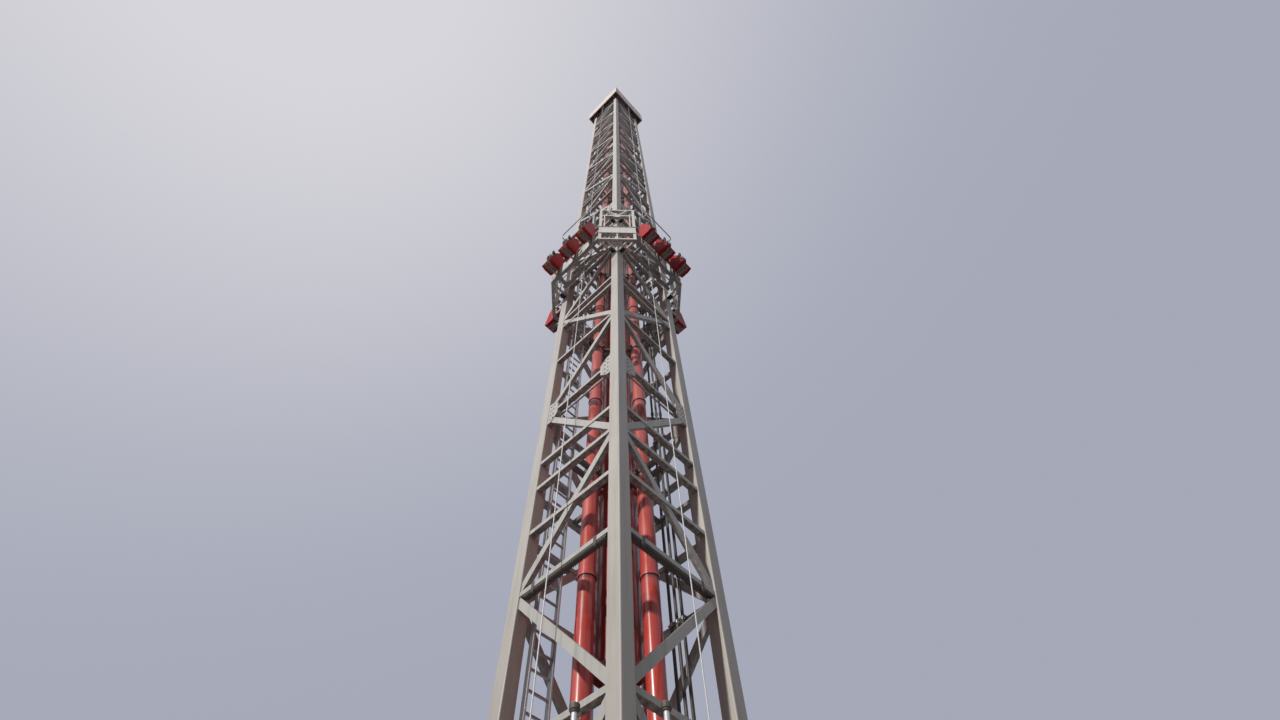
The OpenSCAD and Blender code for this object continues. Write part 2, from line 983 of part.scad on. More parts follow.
module seats_back_left() {
  on_side(2)
    seat_side_set();
}

module seats_front_left() {
  on_side(3)
    seat_side_set();
}

// Puts a shell at its place between two seats, against the inner face of the side frame's lower beam
module at_shells() {
  for (i = [-0.5, 0.5])
    translate([i * seat_pitch, -side_y + bar_t / 2, carriage_z])
      rotate(-90)
        children();
}

// A rounded shell that bulges towards the tower, with a domed head and a narrow foot
module back_shell() {
  foot_w = shell_w / 2;
  rotate([0, -90, 0])
    hull() {
      translate([shell_h - shell_w / 2, 0, 0])
        rotate_extrude()
          polygon([[0, 0], [shell_w / 2, 0], [shell_w * 0.47, shell_l * 0.45],
                   [shell_w * 0.36, shell_l * 0.76], [shell_w * 0.2, shell_l * 0.94], [0, shell_l]]);
      translate([0, -foot_w / 2, 0])
        cube([bar_w, foot_w, shell_l / 2]);
    }
}

module back_set() {
  color("white")
    at_shells()
      back_shell();
}

module backs_front_right() {
  on_side(0)
    back_set();
}

module backs_back_right() {
  on_side(1)
    back_set();
}

module backs_back_left() {
  on_side(2)
    back_set();
}

module backs_front_left() {
  on_side(3)
    back_set();
}

// A shoulder restraint: a pivot bar at the seat's back, two hooped tubes and a cross bar at the chest
module restraint() {
  y = seat_w / 2 - shell_t - restraint_d / 2 - 12;
  hoop_r = 72;
  back_x = 50 + fit_gap + restraint_d / 2 + 3;
  front_x = back_x + 2 * hoop_r;
  pivot_l = seat_w - 2 * shell_t;
  translate([back_x, -pivot_l / 2, seat_h - hoop_r])
    rotate([-90, 0, 0])
      cylinder(d = restraint_d + 6, h = pivot_l);
  for (s = [-1, 1])
    bent_bar(concat(arc([back_x + hoop_r, s * y, seat_h - hoop_r], hoop_r, [-1, 0, 0], [0, 0, 1], 180, 10),
                    [[front_x, s * y, seat_h / 2]]), restraint_d);
  translate([front_x, -y, seat_h / 2 + 12])
    rotate([-90, 0, 0])
      cylinder(d = restraint_d * 0.8, h = 2 * y);
}

module restraint_set() {
  color("dimgray")
    at_seats()
      restraint();
}

module restraints_front_right() {
  on_side(0)
    restraint_set();
}

module restraints_back_right() {
  on_side(1)
    restraint_set();
}

module restraints_back_left() {
  on_side(2)
    restraint_set();
}

module restraints_front_left() {
  on_side(3)
    restraint_set();
}

module guide_rollers() {
  y = -half - roller_gap - roller_d / 2;
  color("black")
    for (i = [0 : 3], z = [bar_w / 2, carriage_h - bar_w / 2], m = [0, 1])
      at_corner(i)
        mirror([m, -m, 0])
          translate([-leg_c - roller_w / 2, y, carriage_z + z])
            rotate([0, 90, 0])
              difference() {
                cylinder(d = roller_d, h = roller_w);
                translate([0, 0, -1])
                  cylinder(d = pin_d + 2 * fit_gap, h = roller_w + 2);
              }
}

// A clamp that hangs under a side frame's inner beam, round the lift cable
module cable_clamp() {
  l = 460;
  translate([0, -cable_y, carriage_z - l])
    difference() {
      union() {
        translate([-30, -30, 0])
          cube([60, 60, 150]);
        for (s = [-1, 1])
          translate([s * 22 - 6, -15, 100])
            cube([12, 30, l - 100]);
      }
      translate([0, 0, -1])
        cylinder(d = cable_d + 2 * cable_gap, h = l + 2);
    }
}

module cable_clamps() {
  color("whitesmoke")
    for (i = [0 : 3])
      at_corner(i)
        cable_clamp();
}

// A bent rail over the seats of one side, carried by the side frame's top beam
module hoop_rail() {
  x = seat_pitch * 0.85;
  y = -side_y - hoop_out;
  z = carriage_z + carriage_h - bar_w / 2;
  r = 2 * hoop_d;
  half_route = concat(
    [[0, y, z + hoop_up]],
    arc([x - r, y, z + hoop_up - r], r, [0, 0, 1], [1, 0, 0], 90),
    arc([x, y + r, z + r], r, [0, -1, 0], [0, 0, -1], 90),
    [[x, -side_y - bar_t / 2, z]]
  );
  for (m = [0, 1])
    mirror([m, 0, 0])
      bent_bar(half_route, hoop_d);
}

module hoop_rails() {
  color("gray")
    for (i = [0 : 3])
      at_corner(i)
        hoop_rail();
}

base_frame();
base_plates();
leg_front();
leg_left();
leg_right();
leg_back();
lattice_front_left();
lattice_front_right();
lattice_back_left();
lattice_back_right();
top_frame();
air_tubes();
receiver();
tube_brackets();
ladder();
pipe_run();
stand_pipes();
lift_cables();
bottom_sheaves();
top_sheaves();
sheave_axles();
cap_frame();
cap_panels();
cap_roof();
corner_frame_front();
corner_frame_left();
corner_frame_right();
corner_frame_back();
side_frame_front_left();
side_frame_front_right();
side_frame_back_left();
side_frame_back_right();
seats_front_left();
seats_front_right();
seats_back_left();
seats_back_right();
backs_front_left();
backs_front_right();
backs_back_left();
backs_back_right();
restraints_front_left();
restraints_front_right();
restraints_back_left();
restraints_back_right();
guide_rollers();
cable_clamps();
hoop_rails();
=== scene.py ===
import math
import bmesh
import bpy
from mathutils import Matrix, Vector


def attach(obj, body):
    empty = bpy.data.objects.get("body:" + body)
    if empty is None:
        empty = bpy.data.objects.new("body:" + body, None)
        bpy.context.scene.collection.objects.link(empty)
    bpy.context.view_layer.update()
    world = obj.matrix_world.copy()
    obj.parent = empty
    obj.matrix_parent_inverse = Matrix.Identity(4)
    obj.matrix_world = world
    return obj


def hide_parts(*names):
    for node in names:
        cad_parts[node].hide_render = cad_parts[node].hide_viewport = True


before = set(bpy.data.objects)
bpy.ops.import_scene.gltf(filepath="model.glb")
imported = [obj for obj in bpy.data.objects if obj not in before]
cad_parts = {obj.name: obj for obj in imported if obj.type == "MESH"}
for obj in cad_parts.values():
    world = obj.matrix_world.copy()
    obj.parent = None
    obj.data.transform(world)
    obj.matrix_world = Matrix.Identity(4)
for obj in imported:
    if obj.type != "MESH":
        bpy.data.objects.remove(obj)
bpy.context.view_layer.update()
print("frame loaded:", len(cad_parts), "nodes")

# the camera stands low beside the front corner and looks steeply up
viewpoint = {"place": (-2.9785, -2.8788, 0.4544), "heading": 50.266, "pitch": 61.055, "roll": -4.037,
             "lens": 18.037, "near": 0.05, "far": 400}
# the dome lights the ride; the backdrop and its glow are seen only by the camera and in reflections
light = {
    "sunPlace": (-12, -2, 20), "sunFrom": (-0.865, -0.06, 0.50), "sunStrength": 2.7,
    "sunColor": (1.0, 0.965, 0.91), "sunSoftness": 3.0,
    "above": (0.27, 0.275, 0.295), "below": (0.085, 0.078, 0.074), "domeSpan": (-0.5, 0.6),
    "glowFrom": (-0.329, 0.191, 0.925), "glowSpan": (0.40, 0.98), "glowPower": 3.0,
    "backdropGlow": (0.68, 0.67, 0.715), "backdropFar": (0.375, 0.395, 0.48),
}
floor = {"size": 5.0, "color": (0.58, 0.58, 0.57), "rough": 0.9}

# places of the fixed parts, in metres
tower = {
    "half": 0.6125, "leg": 0.127, "bay": 1.26, "bays": 23, "firstJoint": 0.212, "inset": 0.008,
    "rail": 0.046, "railDeep": 0.060, "tubeOut": 0.347, "tubeRound": 0.142, "tubeLow": 0.780,
    "splices": (5, 10, 15, 20),
}
carriage = {"low": 9.926, "sideOut": 0.9185, "cornerOut": 1.0052, "halfBeam": 0.025, "pitch": 0.370,
            "seatLow": 0.090}
railFace = tower["half"] - tower["inset"]  # how far out the rails' outer faces lie


def jointHeight(k):
    return tower["firstJoint"] + k * tower["bay"]


# helpers for node trees, in which a source is a socket or a plain value
def addNode(tree, kind, place=(0, 0), **settings):
    made = tree.nodes.new(kind)
    made.location = place
    for key, value in settings.items():
        setattr(made, key, value)
    return made


def feed(tree, source, target):
    if isinstance(source, bpy.types.NodeSocket):
        tree.links.new(source, target)
    else:
        target.default_value = source


def addRamp(tree, place, source, span, most=1.0):
    # nothing where the source is at the span's start, and the most where it is at its end
    node = addNode(tree, "ShaderNodeMapRange", place)
    node.inputs["From Min"].default_value = span[0]
    node.inputs["From Max"].default_value = span[1]
    node.inputs["To Max"].default_value = most
    feed(tree, source, node.inputs["Value"])
    return node.outputs["Result"]


def addMath(tree, place, operation, *sources):
    node = addNode(tree, "ShaderNodeMath", place, operation=operation)
    for source, socket in zip(sources, node.inputs):
        feed(tree, source, socket)
    return node.outputs[0]


def addMix(tree, place, amount, first, second, kind="RGBA"):
    node = addNode(tree, "ShaderNodeMix", place, data_type=kind)
    for label, source in (("Factor", amount), ("A", first), ("B", second)):
        feed(tree, source, node.inputs[label])
    return node.outputs["Result"]


def addNoise(tree, place, vector, scale, detail=2.0, rough=0.5):
    node = addNode(tree, "ShaderNodeTexNoise", place)
    for label, source in (("Vector", vector), ("Scale", scale), ("Detail", detail), ("Roughness", rough)):
        feed(tree, source, node.inputs[label])
    return node.outputs["Fac"]


def addHeight(tree, place, vector):
    node = addNode(tree, "ShaderNodeSeparateXYZ", place)
    feed(tree, vector, node.inputs[0])
    return node.outputs["Z"]


def newGroup(name, inputs, outputs):
    group = bpy.data.node_groups.new(name, "ShaderNodeTree")
    for label, start in inputs.items():
        kind = "NodeSocketColor" if isinstance(start, tuple) else "NodeSocketFloat"
        socket = group.interface.new_socket(name=label, in_out="INPUT", socket_type=kind)
        socket.default_value = start
    for label, kind in outputs:
        group.interface.new_socket(name=label, in_out="OUTPUT", socket_type=kind)
    given = addNode(group, "NodeGroupInput", (-1200, 0)).outputs
    result = addNode(group, "NodeGroupOutput", (900, 0)).inputs
    return group, given, result


def newMaterial(name):
    material = bpy.data.materials.new(name)
    material.use_nodes = True
    return material, material.node_tree, material.node_tree.nodes["Principled BSDF"]


def addCamera():
    bpy.ops.object.camera_add(location=viewpoint["place"])
    camera = bpy.context.object
    camera.name = "photo_view"
    turn = (Matrix.Rotation(math.radians(-viewpoint["heading"]), 4, "Z")
            @ Matrix.Rotation(math.radians(90 + viewpoint["pitch"]), 4, "X")
            @ Matrix.Rotation(math.radians(viewpoint["roll"]), 4, "Z"))
    camera.matrix_world = Matrix.Translation(viewpoint["place"]) @ turn
    camera.data.lens = viewpoint["lens"]
    camera.data.clip_start = viewpoint["near"]
    camera.data.clip_end = viewpoint["far"]
    bpy.context.scene.camera = camera
    bpy.context.scene.view_settings.view_transform = "Standard"


def addLight():
    bpy.ops.object.light_add(type="SUN", location=light["sunPlace"])
    sun = bpy.context.object
    sun.name = "soft_sun"
    sun.data.energy = light["sunStrength"]
    sun.data.color = light["sunColor"]
    sun.data.angle = math.radians(light["sunSoftness"])
    sun.rotation_euler = Vector(light["sunFrom"]).to_track_quat("Z", "Y").to_euler()

    world = bpy.data.worlds.new("studio")
    bpy.context.scene.world = world
    world.use_nodes = True
    tree = world.node_tree
    tree.nodes.clear()
    place = addNode(tree, "ShaderNodeTexCoord", (-900, 0)).outputs["Generated"]
    rise = addRamp(tree, (-500, 0), addHeight(tree, (-700, 0), place), light["domeSpan"])
    dome = addMix(tree, (-300, 0), rise, (*light["below"], 1), (*light["above"], 1))
    towards = addNode(tree, "ShaderNodeVectorMath", (-900, 500), operation="DOT_PRODUCT")
    feed(tree, place, towards.inputs[0])
    feed(tree, light["glowFrom"], towards.inputs[1])
    near = addRamp(tree, (-700, 500), towards.outputs["Value"], light["glowSpan"])
    glow = addMath(tree, (-500, 500), "POWER", near, light["glowPower"])
    backdrop = addMix(tree, (-300, 500), glow, (*light["backdropFar"], 1), (*light["backdropGlow"], 1))
    path = addNode(tree, "ShaderNodeLightPath", (-500, 300)).outputs
    seen = addMath(tree, (-300, 300), "MAXIMUM", path["Is Camera Ray"], path["Is Glossy Ray"])
    shine = addNode(tree, "ShaderNodeBackground", (100, 0))
    out = addNode(tree, "ShaderNodeOutputWorld", (300, 0))
    feed(tree, addMix(tree, (-100, 0), seen, dome, backdrop), shine.inputs["Color"])
    feed(tree, shine.outputs[0], out.inputs["Surface"])


def addFloor():
    bpy.ops.mesh.primitive_plane_add(size=floor["size"], location=(0, 0, 0))
    ground = bpy.context.object
    ground.name = "studio_floor"
    bpy.ops.object.transform_apply(location=True, rotation=True, scale=True)
    paint, _, shader = newMaterial("paleFloor")
    shader.inputs["Base Color"].default_value = (*floor["color"], 1)
    shader.inputs["Roughness"].default_value = floor["rough"]
    ground.data.materials.append(paint)


# scales and noise levels of the weathering and the painted light; the haze and foot shade spans are heights
# in metres
weatherAndPaintedLight = {
    "streakScale": (22, 22, 1.1), "streakDetail": 5.0, "streakRough": 0.62, "streakSpan": (0.48, 0.72),
    "patchScale": 2.4, "patchDetail": 6.0, "patchSpan": (0.35, 0.70),
    "paleSaturation": 0.86, "paleValue": 1.16, "downSpan": (-0.15, -0.85),
    "speckleScale": 26.0, "speckleDetail": 4.0, "speckleSpan": (0.25, 0.62),
    "hazeColor": (0.72, 0.69, 0.685), "hazeSpan": (3.0, 27.0), "footShadeSpan": (5.0, 0.5), "footShadeMost": 0.42,
    "grainScale": 160.0, "grainShare": 0.25,
}


def makeWeatheringAndPaintedLight():
    # dirt runs and faded patches, with painted shade in speckles on the undersides, painted haze that
    # lightens the top and painted shade that darkens the foot
    tree, given, result = newGroup("weatheringAndPaintedLight", {
        "Paint": (0.5, 0.5, 0.5, 1), "GrimeAndShade": (0.1, 0.08, 0.07, 1), "Runs": 0.3, "Fade": 0.3, "Under": 0.4,
        "Smooth": 0.35, "Worn": 0.65, "Haze": 0.5,
    }, [("Color", "NodeSocketColor"), ("Roughness", "NodeSocketFloat"), ("Height", "NodeSocketFloat")])
    place = addNode(tree, "ShaderNodeTexCoord", (-1400, -300)).outputs["Object"]
    tall = addNode(tree, "ShaderNodeMapping", (-1100, -300))
    feed(tree, weatherAndPaintedLight["streakScale"], tall.inputs["Scale"])
    feed(tree, place, tall.inputs["Vector"])
    streaks = addNoise(tree, (-900, -300), tall.outputs["Vector"], 1.0, weatherAndPaintedLight["streakDetail"],
                       weatherAndPaintedLight["streakRough"])
    patches = addNoise(tree, (-900, -600), place, weatherAndPaintedLight["patchScale"], weatherAndPaintedLight["patchDetail"])
    speckle = addNoise(tree, (-900, 250), place, weatherAndPaintedLight["speckleScale"], weatherAndPaintedLight["speckleDetail"])
    grain = addNoise(tree, (-500, -900), place, weatherAndPaintedLight["grainScale"])
    streakMask = addRamp(tree, (-700, -300), streaks, weatherAndPaintedLight["streakSpan"])
    patchMask = addRamp(tree, (-700, -600), patches, weatherAndPaintedLight["patchSpan"])
    speckleMask = addRamp(tree, (-700, 250), speckle, weatherAndPaintedLight["speckleSpan"])

    pale = addNode(tree, "ShaderNodeHueSaturation", (-500, 0))
    feed(tree, weatherAndPaintedLight["paleSaturation"], pale.inputs["Saturation"])
    feed(tree, weatherAndPaintedLight["paleValue"], pale.inputs["Value"])
    feed(tree, given["Paint"], pale.inputs["Color"])
    fade = addMath(tree, (-500, -600), "MULTIPLY", patchMask, given["Fade"])
    faded = addMix(tree, (-250, 0), fade, given["Paint"], pale.outputs["Color"])
    runs = addMath(tree, (-500, -300), "MULTIPLY", streakMask, given["Runs"])
    dirtied = addMix(tree, (0, 0), runs, faded, given["GrimeAndShade"])

    # painted shade: faces that look down take the dirt colour in speckles, as the shade under things
    surface = addNode(tree, "ShaderNodeNewGeometry", (-1100, 500)).outputs["Normal"]
    down = addRamp(tree, (-700, 500), addHeight(tree, (-900, 500), surface), weatherAndPaintedLight["downSpan"])
    under = addMath(tree, (-500, 400), "MULTIPLY", down, speckleMask)
    under = addMath(tree, (-300, 400), "MULTIPLY", under, given["Under"])
    underShaded = addMix(tree, (250, 0), under, dirtied, given["GrimeAndShade"])

    level = addHeight(tree, (0, 500), place)
    # painted haze: the paint goes paler towards the top, mixed with a pale colour, as the haze of distance
    haze = addMath(tree, (400, 500), "MULTIPLY", addRamp(tree, (200, 500), level, weatherAndPaintedLight["hazeSpan"]),
                     given["Haze"])
    hazeColor = addMix(tree, (600, 100), haze, underShaded, (*weatherAndPaintedLight["hazeColor"], 1))
    # painted shade: the paint darkens into the dirt colour near the ground
    footShade = addRamp(tree, (200, 800), level, weatherAndPaintedLight["footShadeSpan"], weatherAndPaintedLight["footShadeMost"])
    feed(tree, addMix(tree, (800, 100), footShade, hazeColor, given["GrimeAndShade"]), result["Color"])

    rough = addMix(tree, (250, -300), patchMask, given["Smooth"], given["Worn"], "FLOAT")
    feed(tree, rough, result["Roughness"])
    height = addMath(tree, (0, -800), "MULTIPLY_ADD", grain, weatherAndPaintedLight["grainShare"], streakMask)
    feed(tree, height, result["Height"])
    return tree


# the marks below each collar of the air tubes, measured down from the collar
collarMarks = {"collarShadowSpan": (0.05, 0.0), "bandStart": (0.19, 0.21), "bandEnd": (0.42, 0.39), "wobble": 9.0,
               "ragged": 0.06, "bandShare": 0.55, "band": (0.36, 0.036, 0.026), "collarShadow": (0.05, 0.018, 0.015)}


def makeCollarBands():
    # a painted shadow line under each collar and a ragged repainted band a little lower
    tree, given, result = newGroup("collarBands", {"First": 1.472, "Period": 2.52},
                                   [("Line", "NodeSocketFloat"), ("Band", "NodeSocketFloat")])
    place = addNode(tree, "ShaderNodeTexCoord", (-1200, -300)).outputs["Object"]
    under = addMath(tree, (-800, -200), "SUBTRACT", given["First"], addHeight(tree, (-1000, -300), place))
    below = addMath(tree, (-600, -200), "FLOORED_MODULO", under, given["Period"])
    wobble = addNoise(tree, (-1000, -600), place, collarMarks["wobble"])
    ragged = addMath(tree, (-400, -400), "MULTIPLY_ADD", wobble, collarMarks["ragged"], below)
    start = addRamp(tree, (-200, -300), ragged, collarMarks["bandStart"])
    end = addRamp(tree, (-200, -600), ragged, collarMarks["bandEnd"])
    feed(tree, addRamp(tree, (-200, 0), below, collarMarks["collarShadowSpan"]), result["Line"])
    feed(tree, addMath(tree, (100, -300), "MULTIPLY", start, end), result["Band"])
    return tree


addCamera()
addLight()
addFloor()
print("camera, light and floor made")

weatheringAndPaintedLight = makeWeatheringAndPaintedLight()
collarBands = makeCollarBands()

# colour, dirt, how much of each, smoothness and relief of every finish; the dirt colour also colours the
# painted shade, the share for undersides sets painted shade there and the share for the top sets painted haze
finishes = {
    "legPaint": {"paint": (0.53, 0.505, 0.47), "grimeAndShade": (0.2, 0.165, 0.14), "runs": 0.3, "fade": 0.45,
                 "under": 0.6, "smooth": 0.38, "worn": 0.58, "bump": 0.05},
    "bracingPaint": {"paint": (0.54, 0.53, 0.505), "grimeAndShade": (0.11, 0.085, 0.075), "runs": 0.34,
                     "fade": 0.4, "under": 0.85, "smooth": 0.4, "worn": 0.62, "bump": 0.06},
    "darkSteel": {"paint": (0.12, 0.12, 0.12), "grimeAndShade": (0.05, 0.04, 0.035), "runs": 0.4, "fade": 0.5,
                  "under": 0.6, "smooth": 0.42, "worn": 0.66, "bump": 0.08},
    "carriagePaint": {"paint": (0.78, 0.765, 0.74), "haze": 0.1, "grimeAndShade": (0.22, 0.19, 0.16),
                      "runs": 0.22, "fade": 0.3, "under": 0.7, "smooth": 0.3, "worn": 0.5, "bump": 0.04},
    "frameGrey": {"paint": (0.4, 0.405, 0.39), "haze": 0.15, "grimeAndShade": (0.1, 0.085, 0.07), "runs": 0.35,
                  "fade": 0.4, "under": 0.4, "smooth": 0.38, "worn": 0.6, "bump": 0.06},
    "tubeRed": {"paint": (0.58, 0.046, 0.027), "grimeAndShade": (0.25, 0.028, 0.02), "runs": 0.3, "fade": 0.5,
                "under": 0.3, "smooth": 0.2, "worn": 0.42, "bump": 0.05, "coat": 0.35},
    # a darker copy of the tube red: painted shade on the receiver, which stands inside the air tubes; the
    # tube heads share it
    "receiverShadedRed": {"paint": (0.36, 0.03, 0.028), "grimeAndShade": (0.14, 0.015, 0.014), "runs": 0.42,
                    "fade": 0.35, "under": 0.3, "smooth": 0.14, "worn": 0.32, "bump": 0.04, "coat": 0.5},
    "bracketDark": {"paint": (0.075, 0.07, 0.068), "grimeAndShade": (0.16, 0.1, 0.07), "runs": 0.3, "fade": 0.5,
                    "under": 0.3, "smooth": 0.45, "worn": 0.7, "bump": 0.12},
    "galvanised": {"paint": (0.52, 0.54, 0.57), "grimeAndShade": (0.2, 0.195, 0.19), "runs": 0.4, "fade": 0.55,
                   "under": 0.5, "smooth": 0.34, "worn": 0.6, "bump": 0.05, "metal": 0.3},
    "brightZinc": {"paint": (0.74, 0.765, 0.8), "haze": 0, "grimeAndShade": (0.3, 0.29, 0.28), "runs": 0.25,
                   "fade": 0.4, "under": 0.3, "smooth": 0.32, "worn": 0.55, "bump": 0.04, "metal": 0.15},
    "boltZinc": {"paint": (0.52, 0.52, 0.5), "grimeAndShade": (0.2, 0.14, 0.1), "runs": 0.45, "fade": 0.4,
                 "under": 0.4, "smooth": 0.3, "worn": 0.55, "bump": 0.05, "metal": 0.7},
    "capPaint": {"paint": (0.88, 0.75, 0.72), "haze": 0, "grimeAndShade": (0.38, 0.28, 0.25), "runs": 0.28,
                 "fade": 0.25, "under": 0.6, "smooth": 0.45, "worn": 0.65, "bump": 0.05},
    "capEdge": {"paint": (0.34, 0.105, 0.095), "haze": 0.1, "grimeAndShade": (0.12, 0.06, 0.05), "runs": 0.3,
                "fade": 0.4, "under": 0.3, "smooth": 0.42, "worn": 0.6, "bump": 0.05},
    "capTrim": {"paint": (0.88, 0.8, 0.78), "haze": 0, "grimeAndShade": (0.3, 0.25, 0.22), "runs": 0.25,
                "fade": 0.3, "under": 0.05, "smooth": 0.42, "worn": 0.6, "bump": 0.04},
    "roofPaint": {"paint": (0.74, 0.68, 0.65), "grimeAndShade": (0.24, 0.21, 0.19), "runs": 0.4, "fade": 0.4,
                  "under": 0.05, "smooth": 0.5, "worn": 0.7, "bump": 0.06},
    "seatRed": {"paint": (0.46, 0.012, 0.018), "haze": 0, "grimeAndShade": (0.2, 0.016, 0.016), "runs": 0.2,
                "fade": 0.4, "under": 0.2, "smooth": 0.38, "worn": 0.5, "bump": 0.03, "specular": 0.14},
    "seatBelly": {"paint": (0.34, 0.25, 0.21), "haze": 0.05, "grimeAndShade": (0.14, 0.09, 0.07), "runs": 0.35,
                  "fade": 0.4, "under": 0.3, "smooth": 0.5, "worn": 0.7, "bump": 0.1},
    "shellWhite": {"paint": (0.84, 0.83, 0.81), "haze": 0, "grimeAndShade": (0.3, 0.27, 0.24), "runs": 0.18,
                   "fade": 0.3, "under": 0.35, "smooth": 0.24, "worn": 0.45, "bump": 0.03, "coat": 0.2},
    "padBlack": {"paint": (0.028, 0.028, 0.03), "haze": 0, "grimeAndShade": (0.075, 0.07, 0.066), "runs": 0.25,
                 "fade": 0.6, "under": 0.2, "smooth": 0.55, "worn": 0.8, "bump": 0.22},
    "tyreBlack": {"paint": (0.022, 0.022, 0.023), "haze": 0, "grimeAndShade": (0.09, 0.085, 0.08), "runs": 0.2,
                  "fade": 0.6, "under": 0.1, "smooth": 0.6, "worn": 0.85, "bump": 0.18},
}
# what a finish has where it says nothing else
plainFinish = {"haze": 0.6, "specular": 0.5, "metal": 0.0, "coat": 0.0, "coatRough": 0.12, "bumpDeep": 0.01}


def addRelief(tree, height, strength, deep, shader):
    relief = addNode(tree, "ShaderNodeBump", (-250, -250))
    feed(tree, strength, relief.inputs["Strength"])
    feed(tree, deep, relief.inputs["Distance"])
    feed(tree, height, relief.inputs["Height"])
    feed(tree, relief.outputs["Normal"], shader.inputs["Normal"])


def paintWith(name):
    facts = {**plainFinish, **finishes[name]}
    material, tree, shader = newMaterial(name)
    dirtAndPaintedLight = addNode(tree, "ShaderNodeGroup", (-500, 100), node_tree=weatheringAndPaintedLight)
    dirtAndPaintedLight.inputs["Paint"].default_value = (*facts["paint"], 1)
    dirtAndPaintedLight.inputs["GrimeAndShade"].default_value = (*facts["grimeAndShade"], 1)
    for label in ("Runs", "Fade", "Under", "Smooth", "Worn", "Haze"):
        dirtAndPaintedLight.inputs[label].default_value = facts[label.lower()]
    shader.inputs["Metallic"].default_value = facts["metal"]
    shader.inputs["Coat Weight"].default_value = facts["coat"]
    shader.inputs["Coat Roughness"].default_value = facts["coatRough"]
    shader.inputs["Specular IOR Level"].default_value = facts["specular"]
    feed(tree, dirtAndPaintedLight.outputs["Color"], shader.inputs["Base Color"])
    feed(tree, dirtAndPaintedLight.outputs["Roughness"], shader.inputs["Roughness"])
    addRelief(tree, dirtAndPaintedLight.outputs["Height"], facts["bump"], facts["bumpDeep"], shader)
    return material


def addTubeBands(material):
    # the collars of the air tubes stand at every second joint, from the first
    tree = material.node_tree
    shader = tree.nodes["Principled BSDF"]
    paint = shader.inputs["Base Color"].links[0].from_socket
    bands = addNode(tree, "ShaderNodeGroup", (-500, 450), node_tree=collarBands)
    bands.inputs["First"].default_value = jointHeight(1)
    bands.inputs["Period"].default_value = 2 * tower["bay"]
    amount = addMath(tree, (-350, 500), "MULTIPLY", bands.outputs["Band"], collarMarks["bandShare"])
    banded = addMix(tree, (-250, 300), amount, paint, (*collarMarks["band"], 1))
    # painted shadow: a dark line just under each collar
    shadowed = addMix(tree, (-50, 300), bands.outputs["Line"], banded, (*collarMarks["collarShadow"], 1))
    feed(tree, shadowed, shader.inputs["Base Color"])


rope = {"slant": (0.5, 0.6, 0.0), "strands": 55.0, "uneven": 0.4, "dark": (0.60, 0.60, 0.59),
        "pale": (0.80, 0.80, 0.79), "bump": 0.3, "bumpDeep": 0.004, "metal": 0.3, "rough": 0.42}


def makeRope():
    # slanting strands round the lift cables, with painted shade in the grooves between them
    material, tree, shader = newMaterial("wireRope")
    place = addNode(tree, "ShaderNodeTexCoord", (-1000, -300)).outputs["Object"]
    slant = addNode(tree, "ShaderNodeMapping", (-800, -300))
    feed(tree, rope["slant"], slant.inputs["Rotation"])
    feed(tree, place, slant.inputs["Vector"])
    strands = addNode(tree, "ShaderNodeTexWave", (-500, -300), bands_direction="Z")
    feed(tree, slant.outputs["Vector"], strands.inputs["Vector"])
    feed(tree, rope["strands"], strands.inputs["Scale"])
    feed(tree, rope["uneven"], strands.inputs["Distortion"])
    shade = addMix(tree, (-250, 100), strands.outputs["Fac"], (*rope["dark"], 1), (*rope["pale"], 1))
    feed(tree, shade, shader.inputs["Base Color"])
    shader.inputs["Metallic"].default_value = rope["metal"]
    shader.inputs["Roughness"].default_value = rope["rough"]
    addRelief(tree, strands.outputs["Fac"], rope["bump"], rope["bumpDeep"], shader)
    return material


paints = {name: paintWith(name) for name in finishes}
addTubeBands(paints["tubeRed"])
paints["wireRope"] = makeRope()

# the finish of each node
sides = ("front_right", "back_right", "back_left", "front_left")
corners = ("front", "right", "back", "left")
nodePaint = {
    "base_frame": "darkSteel", "base_plates": "legPaint", "top_frame": "darkSteel", "air_tubes": "tubeRed",
    "receiver": "receiverShadedRed", "tube_brackets": "bracketDark", "ladder": "galvanised",
    "pipe_run": "bracketDark", "stand_pipes": "brightZinc", "lift_cables": "wireRope",
    "bottom_sheaves": "frameGrey", "top_sheaves": "frameGrey", "sheave_axles": "boltZinc",
    "cap_frame": "capEdge", "cap_panels": "capPaint", "cap_roof": "roofPaint",
    "guide_rollers": "tyreBlack", "cable_clamps": "carriagePaint", "hoop_rails": "galvanised",
}
for corner in corners:
    nodePaint["leg_" + corner] = "legPaint"
    nodePaint["corner_frame_" + corner] = "carriagePaint"
for side in sides:
    nodePaint["lattice_" + side] = "bracingPaint"
    nodePaint["side_frame_" + side] = "frameGrey"
    nodePaint["seats_" + side] = "seatRed"
    nodePaint["backs_" + side] = "shellWhite"
    nodePaint["restraints_" + side] = "padBlack"
for nodeName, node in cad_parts.items():
    node.data.materials.clear()
    node.data.materials.append(paints[nodePaint[nodeName]])
    for face in node.data.polygons:
        face.material_index = 0
print("finishes made and laid on the nodes")


# helpers for modelling; the turns lay a primitive's axis along X, Y or Z
axisTurn = {"X": (0, math.pi / 2, 0), "Y": (math.pi / 2, 0, 0), "Z": (0, 0, 0)}
squareOn = 0.9  # the least share of a face's normal along the way that it faces
touch = 0.0005  # what lies closer than this counts as the same place
shading = {"smoothUnder": 40, "padSmoothUnder": 50}


def dropPicks():
    if bpy.context.mode != "OBJECT":
        bpy.ops.object.mode_set(mode="OBJECT")
    bpy.ops.object.select_all(action="DESELECT")


def takeUp(piece):
    dropPicks()
    piece.select_set(True)
    bpy.context.view_layer.objects.active = piece


def settle():
    bpy.ops.object.transform_apply(location=True, rotation=True, scale=True)
    return bpy.context.object


